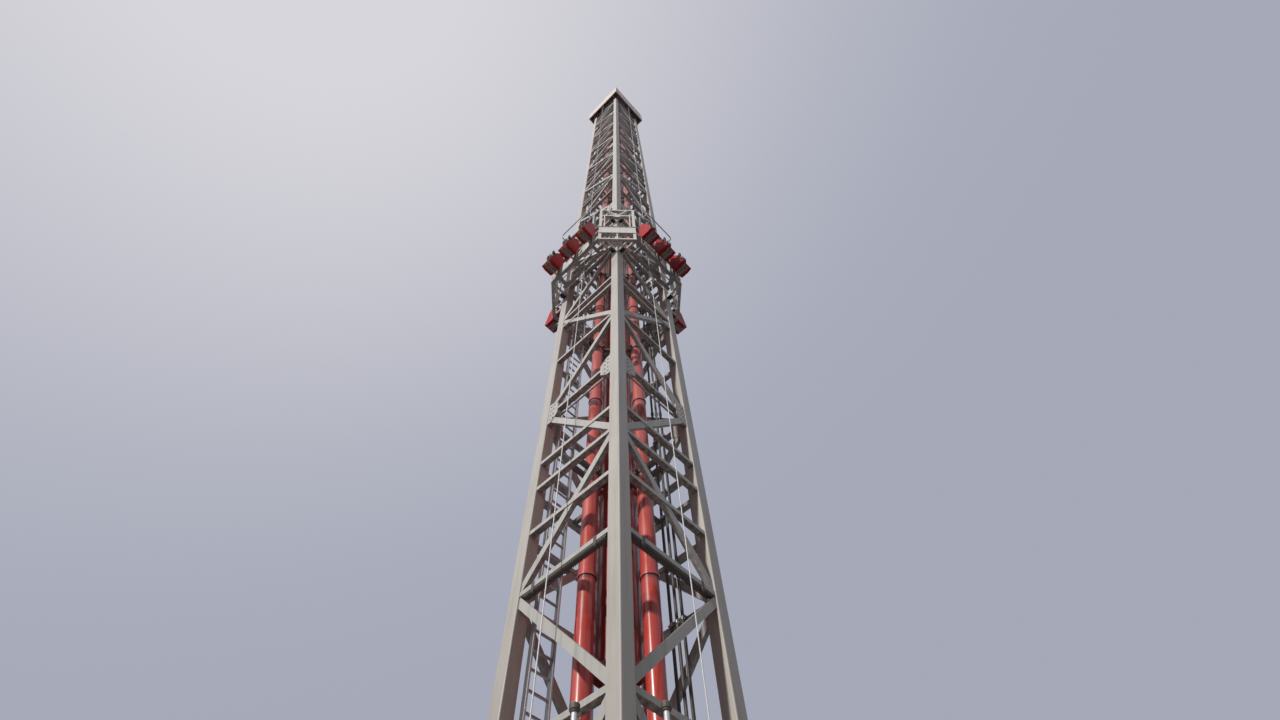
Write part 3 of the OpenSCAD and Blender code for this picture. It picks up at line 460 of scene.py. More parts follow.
def addBlock(low, high):
    dropPicks()
    bpy.ops.mesh.primitive_cube_add(size=1, location=[(a + b) / 2 for a, b in zip(low, high)])
    bpy.context.object.scale = [b - a for a, b in zip(low, high)]
    return settle()


def addRound(radius, length, place, along="Z", rim=24):
    dropPicks()
    bpy.ops.mesh.primitive_cylinder_add(vertices=rim, radius=radius, depth=length, location=place,
                                        rotation=axisTurn[along])
    return settle()


def addRing(radius, thick, place, along="Z", rim=24, tube=10):
    dropPicks()
    bpy.ops.mesh.primitive_torus_add(major_radius=radius, minor_radius=thick, major_segments=rim,
                                     minor_segments=tube, location=place, rotation=axisTurn[along])
    return settle()


def addLoop(radius, place, rim):
    # an open circle whose points are all picked, ready to be spun
    dropPicks()
    bpy.ops.mesh.primitive_circle_add(vertices=rim, radius=radius, location=place)
    loop = settle()
    openEdit("VERT")
    bpy.ops.mesh.select_all(action="SELECT")
    return loop


def openEdit(kind="FACE"):
    bpy.ops.object.mode_set(mode="EDIT")
    bpy.ops.mesh.select_mode(type=kind)
    bpy.ops.mesh.select_all(action="DESELECT")


def closeEdit():
    bpy.ops.object.mode_set(mode="OBJECT")


def closeLoop():
    # fills the open ends of a spun shape and leaves edit mode
    bpy.ops.mesh.select_all(action="SELECT")
    bpy.ops.mesh.fill_holes(sides=0)
    closeEdit()


def pick(kind, elements, test):
    mesh = bpy.context.edit_object.data
    bpy.ops.mesh.select_mode(type=kind)
    bpy.ops.mesh.select_all(action="DESELECT")
    shape = bmesh.from_edit_mesh(mesh)
    for element in getattr(shape, elements):
        if test(element):
            element.select_set(True)
    if kind == "VERT":
        shape.select_flush_mode()
    bmesh.update_edit_mesh(mesh)


def pickFaces(test):
    pick("FACE", "faces", lambda face: test(face.calc_center_median(), face.normal))


def pickPoints(test):
    pick("VERT", "verts", lambda point: test(point.co))


def pickEdges(test):
    pick("EDGE", "edges", lambda edge: test(edge.verts[0].co, edge.verts[1].co))


def facesUp(middle, normal):
    return normal.z > squareOn


def facesDown(middle, normal):
    return normal.z < -squareOn


def facesAlongX(middle, normal):
    return abs(normal.x) > squareOn


def pull(x, y, z):
    bpy.ops.mesh.extrude_region_move(TRANSFORM_OT_translate={"value": (x, y, z)})


def cutOff(point, away):
    # cuts the open piece at a plane and closes it; what lies away from the plane goes
    bpy.ops.mesh.select_all(action="SELECT")
    bpy.ops.mesh.bisect(plane_co=point, plane_no=away, use_fill=True, clear_outer=True)


def smoothShade(angle=shading["smoothUnder"]):
    bpy.ops.object.shade_smooth_by_angle(angle=math.radians(angle))


def soften(piece, width, steps=2, angle=35):
    takeUp(piece)
    edge = piece.modifiers.new("edges", "BEVEL")
    edge.width = width
    edge.segments = steps
    edge.limit_method = "ANGLE"
    edge.angle_limit = math.radians(angle)
    bpy.ops.object.modifier_apply(modifier=edge.name)
    smoothShade()
    return piece


def merge(*parts):
    dropPicks()
    for part in parts:
        part.select_set(True)
    bpy.context.view_layer.objects.active = parts[0]
    bpy.ops.object.join()
    return bpy.context.object


def repeat(first, places):
    # copies of one shape, each with its own mesh, joined into one piece
    copies = []
    for place in places:
        copy = first.copy()
        copy.data = first.data.copy()
        bpy.context.collection.objects.link(copy)
        copy.matrix_world = place
        copies.append(copy)
    bpy.data.objects.remove(first)
    bpy.context.view_layer.update()
    merge(*copies)
    return settle()


def outwards(piece):
    takeUp(piece)
    openEdit()
    bpy.ops.mesh.select_all(action="SELECT")
    bpy.ops.mesh.remove_doubles(threshold=0.00005)
    bpy.ops.mesh.normals_make_consistent(inside=False)
    closeEdit()
    return piece


def finishPiece(piece, name, paint, body, standsFor=()):
    piece.name = name
    piece.data.name = name
    piece.data.materials.clear()
    piece.data.materials.append(paints[paint])
    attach(piece, body)
    if standsFor:
        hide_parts(*standsFor)
    return piece


def turned(quarters):
    return Matrix.Rotation(math.radians(90 * quarters), 4, "Z")


def at(x, y, z):
    return Matrix.Translation((x, y, z))


allRound = [turned(i) for i in range(4)]
# both front faces: the second is the first one's mirror image
frontFaces = [turned(0), turned(3) @ Matrix.Scale(-1, 4, (1, 0, 0))]

# shares of a bolt's width and height
boltShape = {"chamfer": 0.12, "washer": 0.72, "washerTall": 0.22, "sharp": 50}


def makeBolt(width, tall):
    # a hexagon head on a washer, facing -Y, with its foot at the origin
    head = addRound(width / 2, tall, (0, -tall / 2, 0), "Y", 6)
    soften(head, tall * boltShape["chamfer"], 1, boltShape["sharp"])
    thick = tall * boltShape["washerTall"]
    return merge(head, addRound(width * boltShape["washer"], thick, (0, -thick / 2, 0), "Y", 14))


spliceBolts = {"width": 0.020, "tall": 0.0075, "columns": (0.034, 0.080),
               "rows": (-0.125, -0.045, 0.045, 0.125)}


def makeSpliceBolts():
    # bolt heads beside the legs where two sections of the mast are joined
    edge = tower["half"] - tower["leg"]
    places = [turned(side) @ at(sign * (edge - column), -railFace, jointHeight(k) + row)
              for side in range(4) for k in tower["splices"] for sign in (-1, 1)
              for column in spliceBolts["columns"] for row in spliceBolts["rows"]]
    bolts = repeat(makeBolt(spliceBolts["width"], spliceBolts["tall"]), places)
    finishPiece(bolts, "splice_bolts", "legPaint", "mast")


backRails = {"joints": (5, 15), "behind": 0.088, "thick": 0.008, "long": 0.971, "edge": 0.001}


def makeBackRails():
    # a second flat bar behind the rail where two sections of the mast are joined
    y = -railFace + backRails["behind"]
    half = backRails["long"] / 2
    bars = []
    for k in backRails["joints"]:
        low = jointHeight(k) - tower["rail"] / 2
        bar = addBlock((-half, y, low), (half, y + backRails["thick"], low + tower["rail"]))
        bars.append(soften(bar, backRails["edge"], 1))
    finishPiece(repeat(merge(*bars), [turned(0), turned(3)]), "back_rails", "legPaint", "mast")


anchors = {"gap": 0.240, "plate": 0.025, "rod": 0.011, "rise": 0.034, "nut": 0.019, "nutTall": 0.018,
           "washer": 0.02375, "washerTall": 0.004, "edge": 0.002, "sharp": 50}


def makeAnchors():
    # a washer, a nut and the end of a rod in each hole of the base plates
    plate, thick, edge, sharp = anchors["plate"], anchors["washerTall"], anchors["edge"], anchors["sharp"]
    whole = anchors["rise"] + plate
    nut = addRound(anchors["nut"], anchors["nutTall"], (0, 0, plate + thick + anchors["nutTall"] / 2), "Z", 6)
    soften(nut, edge, 1, sharp)
    washer = addRound(anchors["washer"], thick, (0, 0, plate + thick / 2), "Z", 20)
    rod = soften(addRound(anchors["rod"], whole, (0, 0, whole / 2)), edge, 1, sharp)
    middle = tower["half"] - tower["leg"] / 2
    apart = anchors["gap"] / 2
    places = [at(x * middle + dx * apart, y * middle + dy * apart, 0)
              for x in (-1, 1) for y in (-1, 1) for dx in (-1, 1) for dy in (-1, 1)]
    finishPiece(repeat(merge(nut, washer, rod), places), "anchor_nuts", "boltZinc", "mast")


tubeHeads = {"thick": 0.020, "wider": 0.024, "step": 0.018, "neck": 0.010, "edge": 0.0025, "fromTop": 0.060,
             "bolts": 10, "boltRound": 0.0065, "boltLong": 0.044, "boltIn": 0.009}


def makeTubeHeads():
    # a bolted head at both ends of each air tube
    radius = tower["tubeRound"] / 2 + tubeHeads["wider"]
    disc = addRound(radius, tubeHeads["thick"], (0, 0, 0), "Z", 40)
    openEdit()
    pickFaces(lambda middle, normal: abs(normal.z) > squareOn)
    bpy.ops.mesh.inset(thickness=tubeHeads["step"])
    pickFaces(lambda middle, normal: normal.z > squareOn and middle.xy.length < touch)
    pull(0, 0, tubeHeads["neck"])
    closeEdit()
    parts = [soften(disc, tubeHeads["edge"], 2)]
    ring = radius - tubeHeads["boltIn"]
    for i in range(tubeHeads["bolts"]):
        angle = 2 * math.pi * i / tubeHeads["bolts"]
        spot = (math.cos(angle) * ring, math.sin(angle) * ring, 0)
        parts.append(addRound(tubeHeads["boltRound"], tubeHeads["boltLong"], spot, "Z", 6))
    top = jointHeight(tower["bays"]) + tower["rail"] / 2 - tubeHeads["fromTop"]
    flip = Matrix.Rotation(math.pi, 4, "X")
    places = [turned(i) @ at(0, -tower["tubeOut"], z) @ turn for i in range(4)
              for z, turn in ((tower["tubeLow"], flip), (top, Matrix.Identity(4)))]
    finishPiece(repeat(merge(*parts), places), "tube_heads", "receiverShadedRed", "mast")


tray = {
    "joint": 3, "from": -0.46, "to": 0.44, "behind": 0.004, "deep": 0.050, "tall": 0.022, "wall": 0.003,
    "clips": 45, "clamps": (-0.35, 0.33), "clampStep": 0.004, "clampFoot": 0.010, "clampEdge": 0.002,
    "cables": (0.012, 0.024, 0.036), "cableRound": 0.0052, "cableShort": 0.01, "cableUnder": 0.006,
    "edge": 0.001,
}
# half a clip's width and its reach past the tray's front, bottom and back, with its top a little sunk
clip = {"half": 0.003, "front": 0.0015, "below": 0.011, "back": 0.002, "sunk": 0.001}
# a clamp's back is measured from the tray's front, and it rises above the tray
clamp = {"half": 0.016, "front": 0.009, "below": 0.018, "back": 0.016, "above": 0.050}


def makeTrays():
    # a cable tray with clips, clamps and cables under one rail of both front faces
    start, end = tray["from"], tray["to"]
    top = jointHeight(tray["joint"]) - tower["rail"] / 2
    low = top - tray["tall"]
    front = -railFace + tray["behind"]
    back = front + tray["deep"]
    channel = addBlock((start, front, low), (end, back, top))
    openEdit()
    pickFaces(facesUp)
    bpy.ops.mesh.inset(thickness=tray["wall"])
    pull(0, 0, tray["wall"] - tray["tall"])
    closeEdit()
    parts = [soften(channel, tray["edge"], 1)]
    step = (end - start) / tray["clips"]
    for i in range(tray["clips"]):
        x = start + step * (i + 0.5)
        parts.append(addBlock((x - clip["half"], front - clip["front"], low - clip["below"]),
                              (x + clip["half"], back + clip["back"], top - clip["sunk"])))
    for x in tray["clamps"]:
        block = addBlock((x - clamp["half"], front - clamp["front"], low - clamp["below"]),
                         (x + clamp["half"], front + clamp["back"], top + clamp["above"]))
        openEdit()
        pickFaces(facesDown)
        bpy.ops.mesh.inset(thickness=tray["clampStep"])
        pull(0, 0, -tray["clampFoot"])
        closeEdit()
        parts.append(soften(block, tray["clampEdge"], 1))
    for y in tray["cables"]:
        parts.append(addRound(tray["cableRound"], end - start - tray["cableShort"],
                              ((start + end) / 2, front + y, low - tray["cableUnder"]), "X", 10))
    trays = outwards(repeat(merge(*parts), frontFaces))
    finishPiece(trays, "cable_trays", "bracketDark", "mast")


eyes = {"joint": 2, "places": (-0.245, -0.125), "behind": 0.020, "radius": 0.013, "wire": 0.0042,
        "under": 0.012, "shank": 0.005, "shankLong": 0.014, "shankAt": -0.005,
        "plate": (0.015, 0.012, 0.004), "edge": 0.001}


def makeEyes():
    # lifting eyes under one rail of the left front face
    x, y, thick = eyes["plate"]
    shank = addRound(eyes["shank"], eyes["shankLong"], (0, 0, eyes["shankAt"]), "Z", 10)
    soften(shank, eyes["edge"], 1)
    plate = soften(addBlock((-x, -y, -thick), (x, y, 0.0)), eyes["edge"], 1)
    ring = addRing(eyes["radius"], eyes["wire"], (0, 0, -eyes["under"] - eyes["radius"]), "X", 20, 8)
    low = jointHeight(eyes["joint"]) - tower["rail"] / 2
    places = [frontFaces[1] @ at(along, -railFace + eyes["behind"], low) for along in eyes["places"]]
    whole = outwards(repeat(merge(ring, shank, plate), places))
    finishPiece(whole, "lifting_eyes", "shellWhite", "mast")


clampEars = {"gap": 0.006, "thick": 0.008, "deep": 0.034, "tall": 0.038, "ring": 0.010, "edge": 0.002,
             "screws": (-0.010, 0.010), "screwRound": 0.0042, "screwLong": 0.046, "screwShare": 0.6}


def makeClampEars():
    # the bolted ears of the clamp rings round the air tubes, at every second joint
    reach = tower["tubeRound"] / 2 + clampEars["ring"]
    halfGap, halfTall = clampEars["gap"] / 2, clampEars["tall"] / 2
    parts = []
    for sign in (-1, 1):
        low, high = sorted((sign * halfGap, sign * (halfGap + clampEars["thick"])))
        ear = addBlock((reach, low, -halfTall), (reach + clampEars["deep"], high, halfTall))
        parts.append(soften(ear, clampEars["edge"], 1))
    for z in clampEars["screws"]:
        spot = (reach + clampEars["deep"] * clampEars["screwShare"], 0, z)
        parts.append(addRound(clampEars["screwRound"], clampEars["screwLong"], spot, "Y", 6))
    places = [turned(i) @ at(0, -tower["tubeOut"], jointHeight(k)) @ turned(half)
              for i in range(4) for k in range(2, tower["bays"], 2) for half in (0, 2)]
    finishPiece(repeat(merge(*parts), places), "clamp_ears", "bracketDark", "mast")


ladderChannels = {"middle": -0.300, "half": 0.112, "stand": 0.015, "deep": 0.042, "thick": 0.004,
                  "lip": 0.012, "edge": 0.001}


def makeLadderChannels():
    # a folded channel along each side of the ladder, as long as the ladder
    low = jointHeight(1) - tower["bay"] / 2
    high = jointHeight(tower["bays"] - 1) + tower["bay"] / 3
    thick = ladderChannels["thick"]
    back = railFace - tower["railDeep"] - ladderChannels["stand"]
    front = back - ladderChannels["deep"]
    parts = []
    for sign in (-1, 1):
        inner = ladderChannels["middle"] + sign * ladderChannels["half"]
        outer = inner + sign * thick
        near, far = sorted((inner, outer))
        web = addBlock((near, front, low), (far, back, high))
        near, far = sorted((outer, inner - sign * ladderChannels["lip"]))
        lip = addBlock((near, front - thick, low), (far, front, high))
        parts += [soften(part, ladderChannels["edge"], 1) for part in (web, lip)]
    finishPiece(merge(*parts), "ladder_channels", "brightZinc", "mast")


pipes = {"radius": 0.014, "gap": 0.062, "middle": -0.1715, "out": 0.5165}
saddle = {"wall": 0.004, "wide": 0.030, "foot": 0.030, "back": 0.004, "front": 0.002, "edge": 0.0015,
          "footEdge": 0.001, "screw": 0.0058, "screwLong": 0.012, "screwBack": 0.008, "screwSide": 0.0245}
union = {"wall": 0.003, "long": 0.066, "nutWall": 0.007, "nutLong": 0.022, "nuts": (-0.020, 0.014),
         "level": 0.42, "stagger": 0.05, "edge": 0.002}


def makePipeSaddles():
    # bolted saddles over the three pipes at each rail
    out, halfWide = pipes["out"], saddle["wide"] / 2
    parts = []
    for i in (-1, 0, 1):
        y = pipes["middle"] + i * pipes["gap"]
        band = addRound(pipes["radius"] + saddle["wall"], saddle["wide"], (out, y, 0), "Z", 16)
        foot = addBlock((out - saddle["back"], y - saddle["foot"], -halfWide),
                        (out + saddle["front"], y + saddle["foot"], halfWide))
        parts += [soften(band, saddle["edge"], 1), soften(foot, saddle["footEdge"], 1)]
        for side in (-1, 1):
            spot = (out - saddle["screwBack"], y + side * saddle["screwSide"], 0)
            parts.append(addRound(saddle["screw"], saddle["screwLong"], spot, "X", 6))
    places = [at(0, 0, jointHeight(k)) for k in range(1, tower["bays"] - 1)]
    finishPiece(repeat(merge(*parts), places), "pipe_clamps", "boltZinc", "mast")


def makePipeUnions():
    # staggered unions between the lengths of the pipes
    out, middle = pipes["out"], pipes["middle"]
    parts = [addRound(pipes["radius"] + union["wall"], union["long"], (out, middle, 0), "Z", 16)]
    for z in union["nuts"]:
        nut = addRound(pipes["radius"] + union["nutWall"], union["nutLong"], (out, middle, z), "Z", 6)
        parts.append(soften(nut, union["edge"], 1))
    places = [at(0, i * pipes["gap"], jointHeight(k) + tower["bay"] * (union["level"] + union["stagger"] * i))
              for k in range(1, tower["bays"] - 2, 2) for i in (-1, 0, 1)]
    finishPiece(repeat(merge(*parts), places), "pipe_unions", "bracketDark", "mast")


standCaps = {"along": 0.25, "out": 0.058, "top": 2.690, "round": 0.0315, "tall": 0.036, "middle": -0.0178,
             "step": 0.006, "skirt": 0.012, "edge": 0.003}


def makeStandCaps():
    # the closed heads of the stand pipes outside both front faces
    cap = addRound(standCaps["round"], standCaps["tall"], (0, 0, standCaps["middle"]), "Z", 28)
    openEdit()
    pickFaces(facesDown)
    bpy.ops.mesh.inset(thickness=standCaps["step"])
    pull(0, 0, -standCaps["skirt"])
    closeEdit()
    soften(cap, standCaps["edge"], 2)
    x = -tower["half"] + standCaps["along"] * 2 * tower["half"]
    spot = at(x, -tower["half"] - standCaps["out"], standCaps["top"])
    caps = outwards(repeat(cap, [face @ spot for face in frontFaces]))
    finishPiece(caps, "stand_pipe_caps", "bracketDark", "mast")


capTrim = {
    "half": 0.7805, "low": 28.700, "tall": 1.500, "proud": 0.006, "sunk": 0.001, "below": 0.004,
    "lowBand": 0.045, "highBand": 0.060, "corner": 0.050, "edge": 0.002,
    "seams": (-0.39, 0.0, 0.39), "stripHalf": 0.016, "stripShare": 0.6, "stripEdge": 0.0015,
    "rivet": 0.008, "rivetLong": 0.006, "rivetEdge": 0.002,
    "rivets": 10, "rivetFrom": -0.72, "rivetGap": 0.16, "rivetRows": (0.022, 1.470),
}


def makeCapTrim():
    # light angles along the edges of the top's panels, and cover strips over their joints
    half, proud, low = capTrim["half"], capTrim["proud"], capTrim["low"]
    top = low + capTrim["tall"]
    inner = -half + capTrim["sunk"]  # each side stops where the next one's begins
    lowEdge, highEdge = low + capTrim["lowBand"], top - capTrim["highBand"]
    bars = [(-half - proud, -inner, low - capTrim["below"], lowEdge), (-half - proud, -inner, highEdge, top),
            (-half - proud, -half + capTrim["corner"], lowEdge, highEdge),
            (half - capTrim["corner"], -inner, lowEdge, highEdge)]
    parts = []
    for x0, x1, z0, z1 in bars:
        parts.append(soften(addBlock((x0, -half - proud, z0), (x1, inner, z1)), capTrim["edge"], 1))
    front = -half - proud * capTrim["stripShare"]
    for x in capTrim["seams"]:
        strip = addBlock((x - capTrim["stripHalf"], front, low), (x + capTrim["stripHalf"], inner, top))
        parts.append(soften(strip, capTrim["stripEdge"], 1))
    finishPiece(repeat(merge(*parts), allRound), "cap_trim", "capTrim", "mast")


def makeCapRivets():
    # two rows of rivets along each side of the top
    y = -capTrim["half"] - capTrim["proud"] - capTrim["sunk"]
    rivet = addRound(capTrim["rivet"], capTrim["rivetLong"], (0, y, 0), "Y", 8)
    soften(rivet, capTrim["rivetEdge"], 1)
    places = [turned(i) @ at(capTrim["rivetFrom"] + capTrim["rivetGap"] * n, 0, capTrim["low"] + row)
              for i in range(4) for n in range(capTrim["rivets"]) for row in capTrim["rivetRows"]]
    finishPiece(repeat(rivet, places), "cap_rivets", "boltZinc", "mast")


keepers = {"out": 0.54075, "levels": (0.38075, 29.57075), "x": 0.033, "thick": 0.006, "half": 0.030,
           "span": (-0.046, -0.014), "edge": 0.0015, "screws": (-0.018, 0.018), "screwAt": -0.036,
           "screw": 0.007, "screwLong": 0.014}


def makeKeepers():
    # the plates that keep the sheaves' axles in place
    near, far = keepers["x"], keepers["x"] + keepers["thick"]
    low, high = keepers["span"]
    plate = soften(addBlock((near, -keepers["half"], low), (far, keepers["half"], high)), keepers["edge"], 1)
    screws = [addRound(keepers["screw"], keepers["screwLong"], (far, y, keepers["screwAt"]), "X", 6)
              for y in keepers["screws"]]
    places = [turned(i) @ at(0, -keepers["out"], z) @ turned(half)
              for i in range(4) for z in keepers["levels"] for half in (0, 2)]
    finishPiece(repeat(merge(plate, *screws), places), "axle_keepers", "boltZinc", "mast")


# a seat is drawn with X outwards and Z up from its lower edge
# each cut is a plane's place and direction, both in X and Z
seat = {
    "back": 0.0131, "deep": 0.262, "width": 0.200, "tall": 0.600, "wall": 0.014, "edge": 0.004, "sharp": 28,
    "cuts": (
        ((0.0603, 0), (-0.963, -0.270)),  # behind the foot
        ((0.1913, 0), (0.562, -0.827)),  # the slanted front under the pan
        ((0.262, 0.048), (0.978, 0.210)),  # the front of the pan
        ((0.1782, 0.438), (0.868, 0.496)),  # the front of the wings
        ((0.0891, 0.594), (0.223, 0.975)),  # the top
        ((0.021, 0.480), (-0.944, 0.330)),  # behind the head
    ),
    "cutRound": 0.012, "pan": 0.070, "panRise": 0.030, "hollowFrom": 0.050, "hollowTo": 0.320,
    "hollowTop": 0.720, "hollowRound": 0.020, "slack": 0.01,
    "post": ((0.196, -0.016, 0.082), (0.222, 0.016, 0.145)), "postRound": 0.009,
}


def placesAlongSide(quarter, steps, out, up):
    # each step is counted in seats from the side's middle
    return [turned(quarter) @ at(i * carriage["pitch"], -out, carriage["low"] + up) @ turned(-1)
            for i in steps]


def makeSeat():
    # a block cut to the seat's side view and hollowed from the front, with a post on its pan
    half, inner, slack = seat["width"] / 2, seat["width"] / 2 - seat["wall"], seat["slack"]
    pan, near, far = seat["pan"], seat["hollowFrom"], seat["hollowTo"]
    shell = addBlock((seat["back"], -half, 0), (seat["deep"], half, seat["tall"]))
    openEdit()
    for (x, z), (awayX, awayZ) in seat["cuts"]:
        cutOff((x, 0, z), (awayX, 0, awayZ))
    pickEdges(lambda a, b: abs(a.y - b.y) > half)
    bpy.ops.mesh.bevel(offset=seat["cutRound"], segments=3, affect="EDGES")
    closeEdit()
    hollow = addBlock((near, -inner, pan), (far, inner, seat["hollowTop"]))
    openEdit()
    pickPoints(lambda point: point.z < pan + slack and point.x > far - slack)
    bpy.ops.transform.translate(value=(0, 0, seat["panRise"]))
    pickEdges(lambda a, b: max(a.z, b.z) < pan + seat["panRise"] + slack or max(a.x, b.x) < near + slack)
    bpy.ops.mesh.bevel(offset=seat["hollowRound"], segments=3, affect="EDGES")
    closeEdit()
    takeUp(shell)
    scoop = shell.modifiers.new("scoop", "BOOLEAN")
    scoop.operation = "DIFFERENCE"
    scoop.object = hollow
    bpy.ops.object.modifier_apply(modifier=scoop.name)
    bpy.data.objects.remove(hollow)
    soften(shell, seat["edge"], 2, seat["sharp"])
    even = shell.modifiers.new("even", "WEIGHTED_NORMAL")
    even.keep_sharp = True
    bpy.ops.object.modifier_apply(modifier=even.name)
    return merge(shell, soften(addBlock(*seat["post"]), seat["postRound"], 3))


seatTray = {"from": 0.064, "to": 0.1895, "inner": 0.009, "outer": 0.050, "low": -0.008, "high": 0.002,
            "slope": (0.056, 0, 0.038), "step": 0.009, "deep": 0.003, "edge": 0.002, "screws": (0.072, 0.180),
            "screwSide": 0.045, "screwAt": -0.009, "screw": 0.004, "screwLong": 0.006}


def makeSeatTray():
    # the brown-grey tray that is screwed under a seat pan and runs up its slanted front
    parts = []
    for sign in (-1, 1):
        right, left = sorted((sign * seatTray["inner"], sign * seatTray["outer"]))
        plate = addBlock((seatTray["from"], right, seatTray["low"]), (seatTray["to"], left, seatTray["high"]))
        openEdit()
        pickFaces(lambda middle, normal: normal.x > squareOn)
        pull(*seatTray["slope"])
        pickFaces(lambda middle, normal: normal.z < -0.5)
        bpy.ops.mesh.inset(thickness=seatTray["step"])
        pull(0, 0, seatTray["deep"])
        closeEdit()
        parts.append(soften(plate, seatTray["edge"], 1))
        for x in seatTray["screws"]:
            spot = (x, sign * seatTray["screwSide"], seatTray["screwAt"])
            parts.append(addRound(seatTray["screw"], seatTray["screwLong"], spot, "Z", 6))
    return merge(*parts)


# a shell between two seats is drawn from the inner face of the lower beam, with X outwards
backShell = {"width": 0.160, "bulge": 0.070, "tall": 0.570, "foot": 0.080, "edge": 0.003, "sharp": 60}


def makeBackShell():
    # one half of a dome, stretched down from its round head and cut off at its foot
    half = backShell["width"] / 2
    head = backShell["tall"] - half
    dropPicks()
    bpy.ops.mesh.primitive_uv_sphere_add(segments=32, ring_count=24, radius=1, location=(0, 0, head))
    bpy.context.object.scale = (backShell["bulge"], half, half)
    dome = settle()
    openEdit()
    cutOff((0, 0, 0), (1, 0, 0))
    pickPoints(lambda point: point.z < head - touch)
    stretch = (head + backShell["foot"]) / half
    bpy.ops.transform.resize(value=(1, 1, stretch), center_override=(0, 0, head))
    cutOff((0, 0, 0), (0, 0, -1))
    closeEdit()
    return soften(dome, backShell["edge"], 2, backShell["sharp"])


# the arms of a restraint start at its pivot, bend over to the front and come down there
restraint = {"back": 0.0653, "bend": 0.072, "side": 0.062, "shoulder": 0.528, "bar": 0.0105, "drop": 0.228,
             "pivot": 0.0148, "pivotEdge": 0.002, "bridge": 0.0095, "bridgeAt": 0.312}
grips = {"side": 0.030, "out": 0.032, "middle": 0.362, "round": 0.0075, "long": 0.080,
         "stub": 0.006, "stubLong": 0.034, "stubs": (0.330, 0.394)}
armHub = restraint["back"] + restraint["bend"]
armFront = restraint["back"] + 2 * restraint["bend"]


def makeShoulderBars():
    # both arms, the pivot behind, the bridge in front and two grips
    back, shoulder = restraint["back"], restraint["shoulder"]
    parts = []
    for sign in (-1, 1):
        y = sign * restraint["side"]
        arm = addLoop(restraint["bar"], (back, y, shoulder), 14)
        bpy.ops.mesh.spin(steps=14, angle=math.pi, center=(armHub, y, shoulder), axis=(0, 1, 0))
        pull(0, 0, -restraint["drop"])
        closeLoop()
        parts.append(outwards(arm))
    pivot = addRound(restraint["pivot"], seat["width"] - 2 * seat["wall"], (back, 0, shoulder), "Y", 20)
    parts.append(soften(pivot, restraint["pivotEdge"], 1))
    bridgeAt = (armFront, 0, restraint["bridgeAt"])
    parts.append(addRound(restraint["bridge"], 2 * restraint["side"], bridgeAt, "Y", 14))
    for y in (-grips["side"], grips["side"]):
        gripAt = (armFront + grips["out"], y, grips["middle"])
        parts.append(addRound(grips["round"], grips["long"], gripAt, "Z", 12))
        for z in grips["stubs"]:
            stubAt = (armFront + grips["out"] / 2, y, z)
            parts.append(addRound(grips["stub"], grips["stubLong"], stubAt, "X", 10))
    whole = merge(*parts)
    smoothShade()
    return whole


# each pad swells from ring to ring: how far the next ring lies and how much wider it is
pads = {
    "round": 0.0165, "reach": 1.9, "upperEnd": ((0.005, 0.86), (0.003, 0.66)),
    "front": ((-0.022, 1.20), (-0.050, 1.03), (-0.050, 0.97), (-0.022, 0.88), (-0.007, 0.66)),
    "headRest": ((0.049, -0.070, 0.440), (0.066, 0.070, 0.490)), "headRound": 0.006,
}
chest = {"back": 0.018, "front": 0.014, "half": 0.050, "low": 0.296, "high": 0.384, "swell": 1.22,
         "movedFrom": 0.013, "movedWithin": (0.04, 0.03)}


def makeShoulderPad(y):
    # a closed round pad over the bend of an arm and down its front
    shoulder, bend, reach = restraint["shoulder"], restraint["bend"], pads["reach"]
    pad = addLoop(pads["round"], (armFront, y, shoulder), 16)
    bpy.ops.mesh.spin(steps=9, angle=-reach, center=(armHub, y, shoulder), axis=(0, 1, 0))
    tip = (armHub + bend * math.cos(reach), y, shoulder + bend * math.sin(reach))
    for along, shrink in pads["upperEnd"]:
        pull(-along * math.sin(reach), 0, along * math.cos(reach))
        bpy.ops.transform.resize(value=(shrink, shrink, shrink), center_override=tip)
    pickPoints(lambda point: abs(point.z - shoulder) < touch and point.x > armHub)
    for drop, swell in pads["front"]:
        pull(0, 0, drop)
        bpy.ops.transform.resize(value=(swell, swell, 1), center_override=(armFront, y, 0))
    closeLoop()
    return outwards(pad)


def makeChestPad():
    half, low, high = chest["half"], chest["low"], chest["high"]
    block = addBlock((armFront - chest["back"], -half, low), (armFront + chest["front"], half, high))
    middle = Vector((armFront + (chest["front"] - chest["back"]) / 2, 0, (low + high) / 2))
    openEdit()
    bpy.ops.mesh.select_all(action="SELECT")
    bpy.ops.mesh.subdivide(number_cuts=3)
    # the points inside its front and back faces move apart
    out, (aside, above) = chest["movedFrom"], chest["movedWithin"]
    pickPoints(lambda point: abs(point.x - middle.x) > out and abs(point.y) < aside
               and abs(point.z - middle.z) < above)
    bpy.ops.transform.resize(value=(chest["swell"], 1, 1), center_override=middle)
    closeEdit()
    swell = block.modifiers.new("round", "SUBSURF")
    swell.levels = swell.render_levels = 2
    bpy.ops.object.modifier_apply(modifier=swell.name)
    return block


def makeShoulderPads():
    parts = [makeShoulderPad(sign * restraint["side"]) for sign in (-1, 1)]
    parts.append(makeChestPad())
    parts.append(soften(addBlock(*pads["headRest"]), pads["headRound"], 2))
    whole = merge(*parts)
    smoothShade(shading["padSmoothUnder"])
    return whole


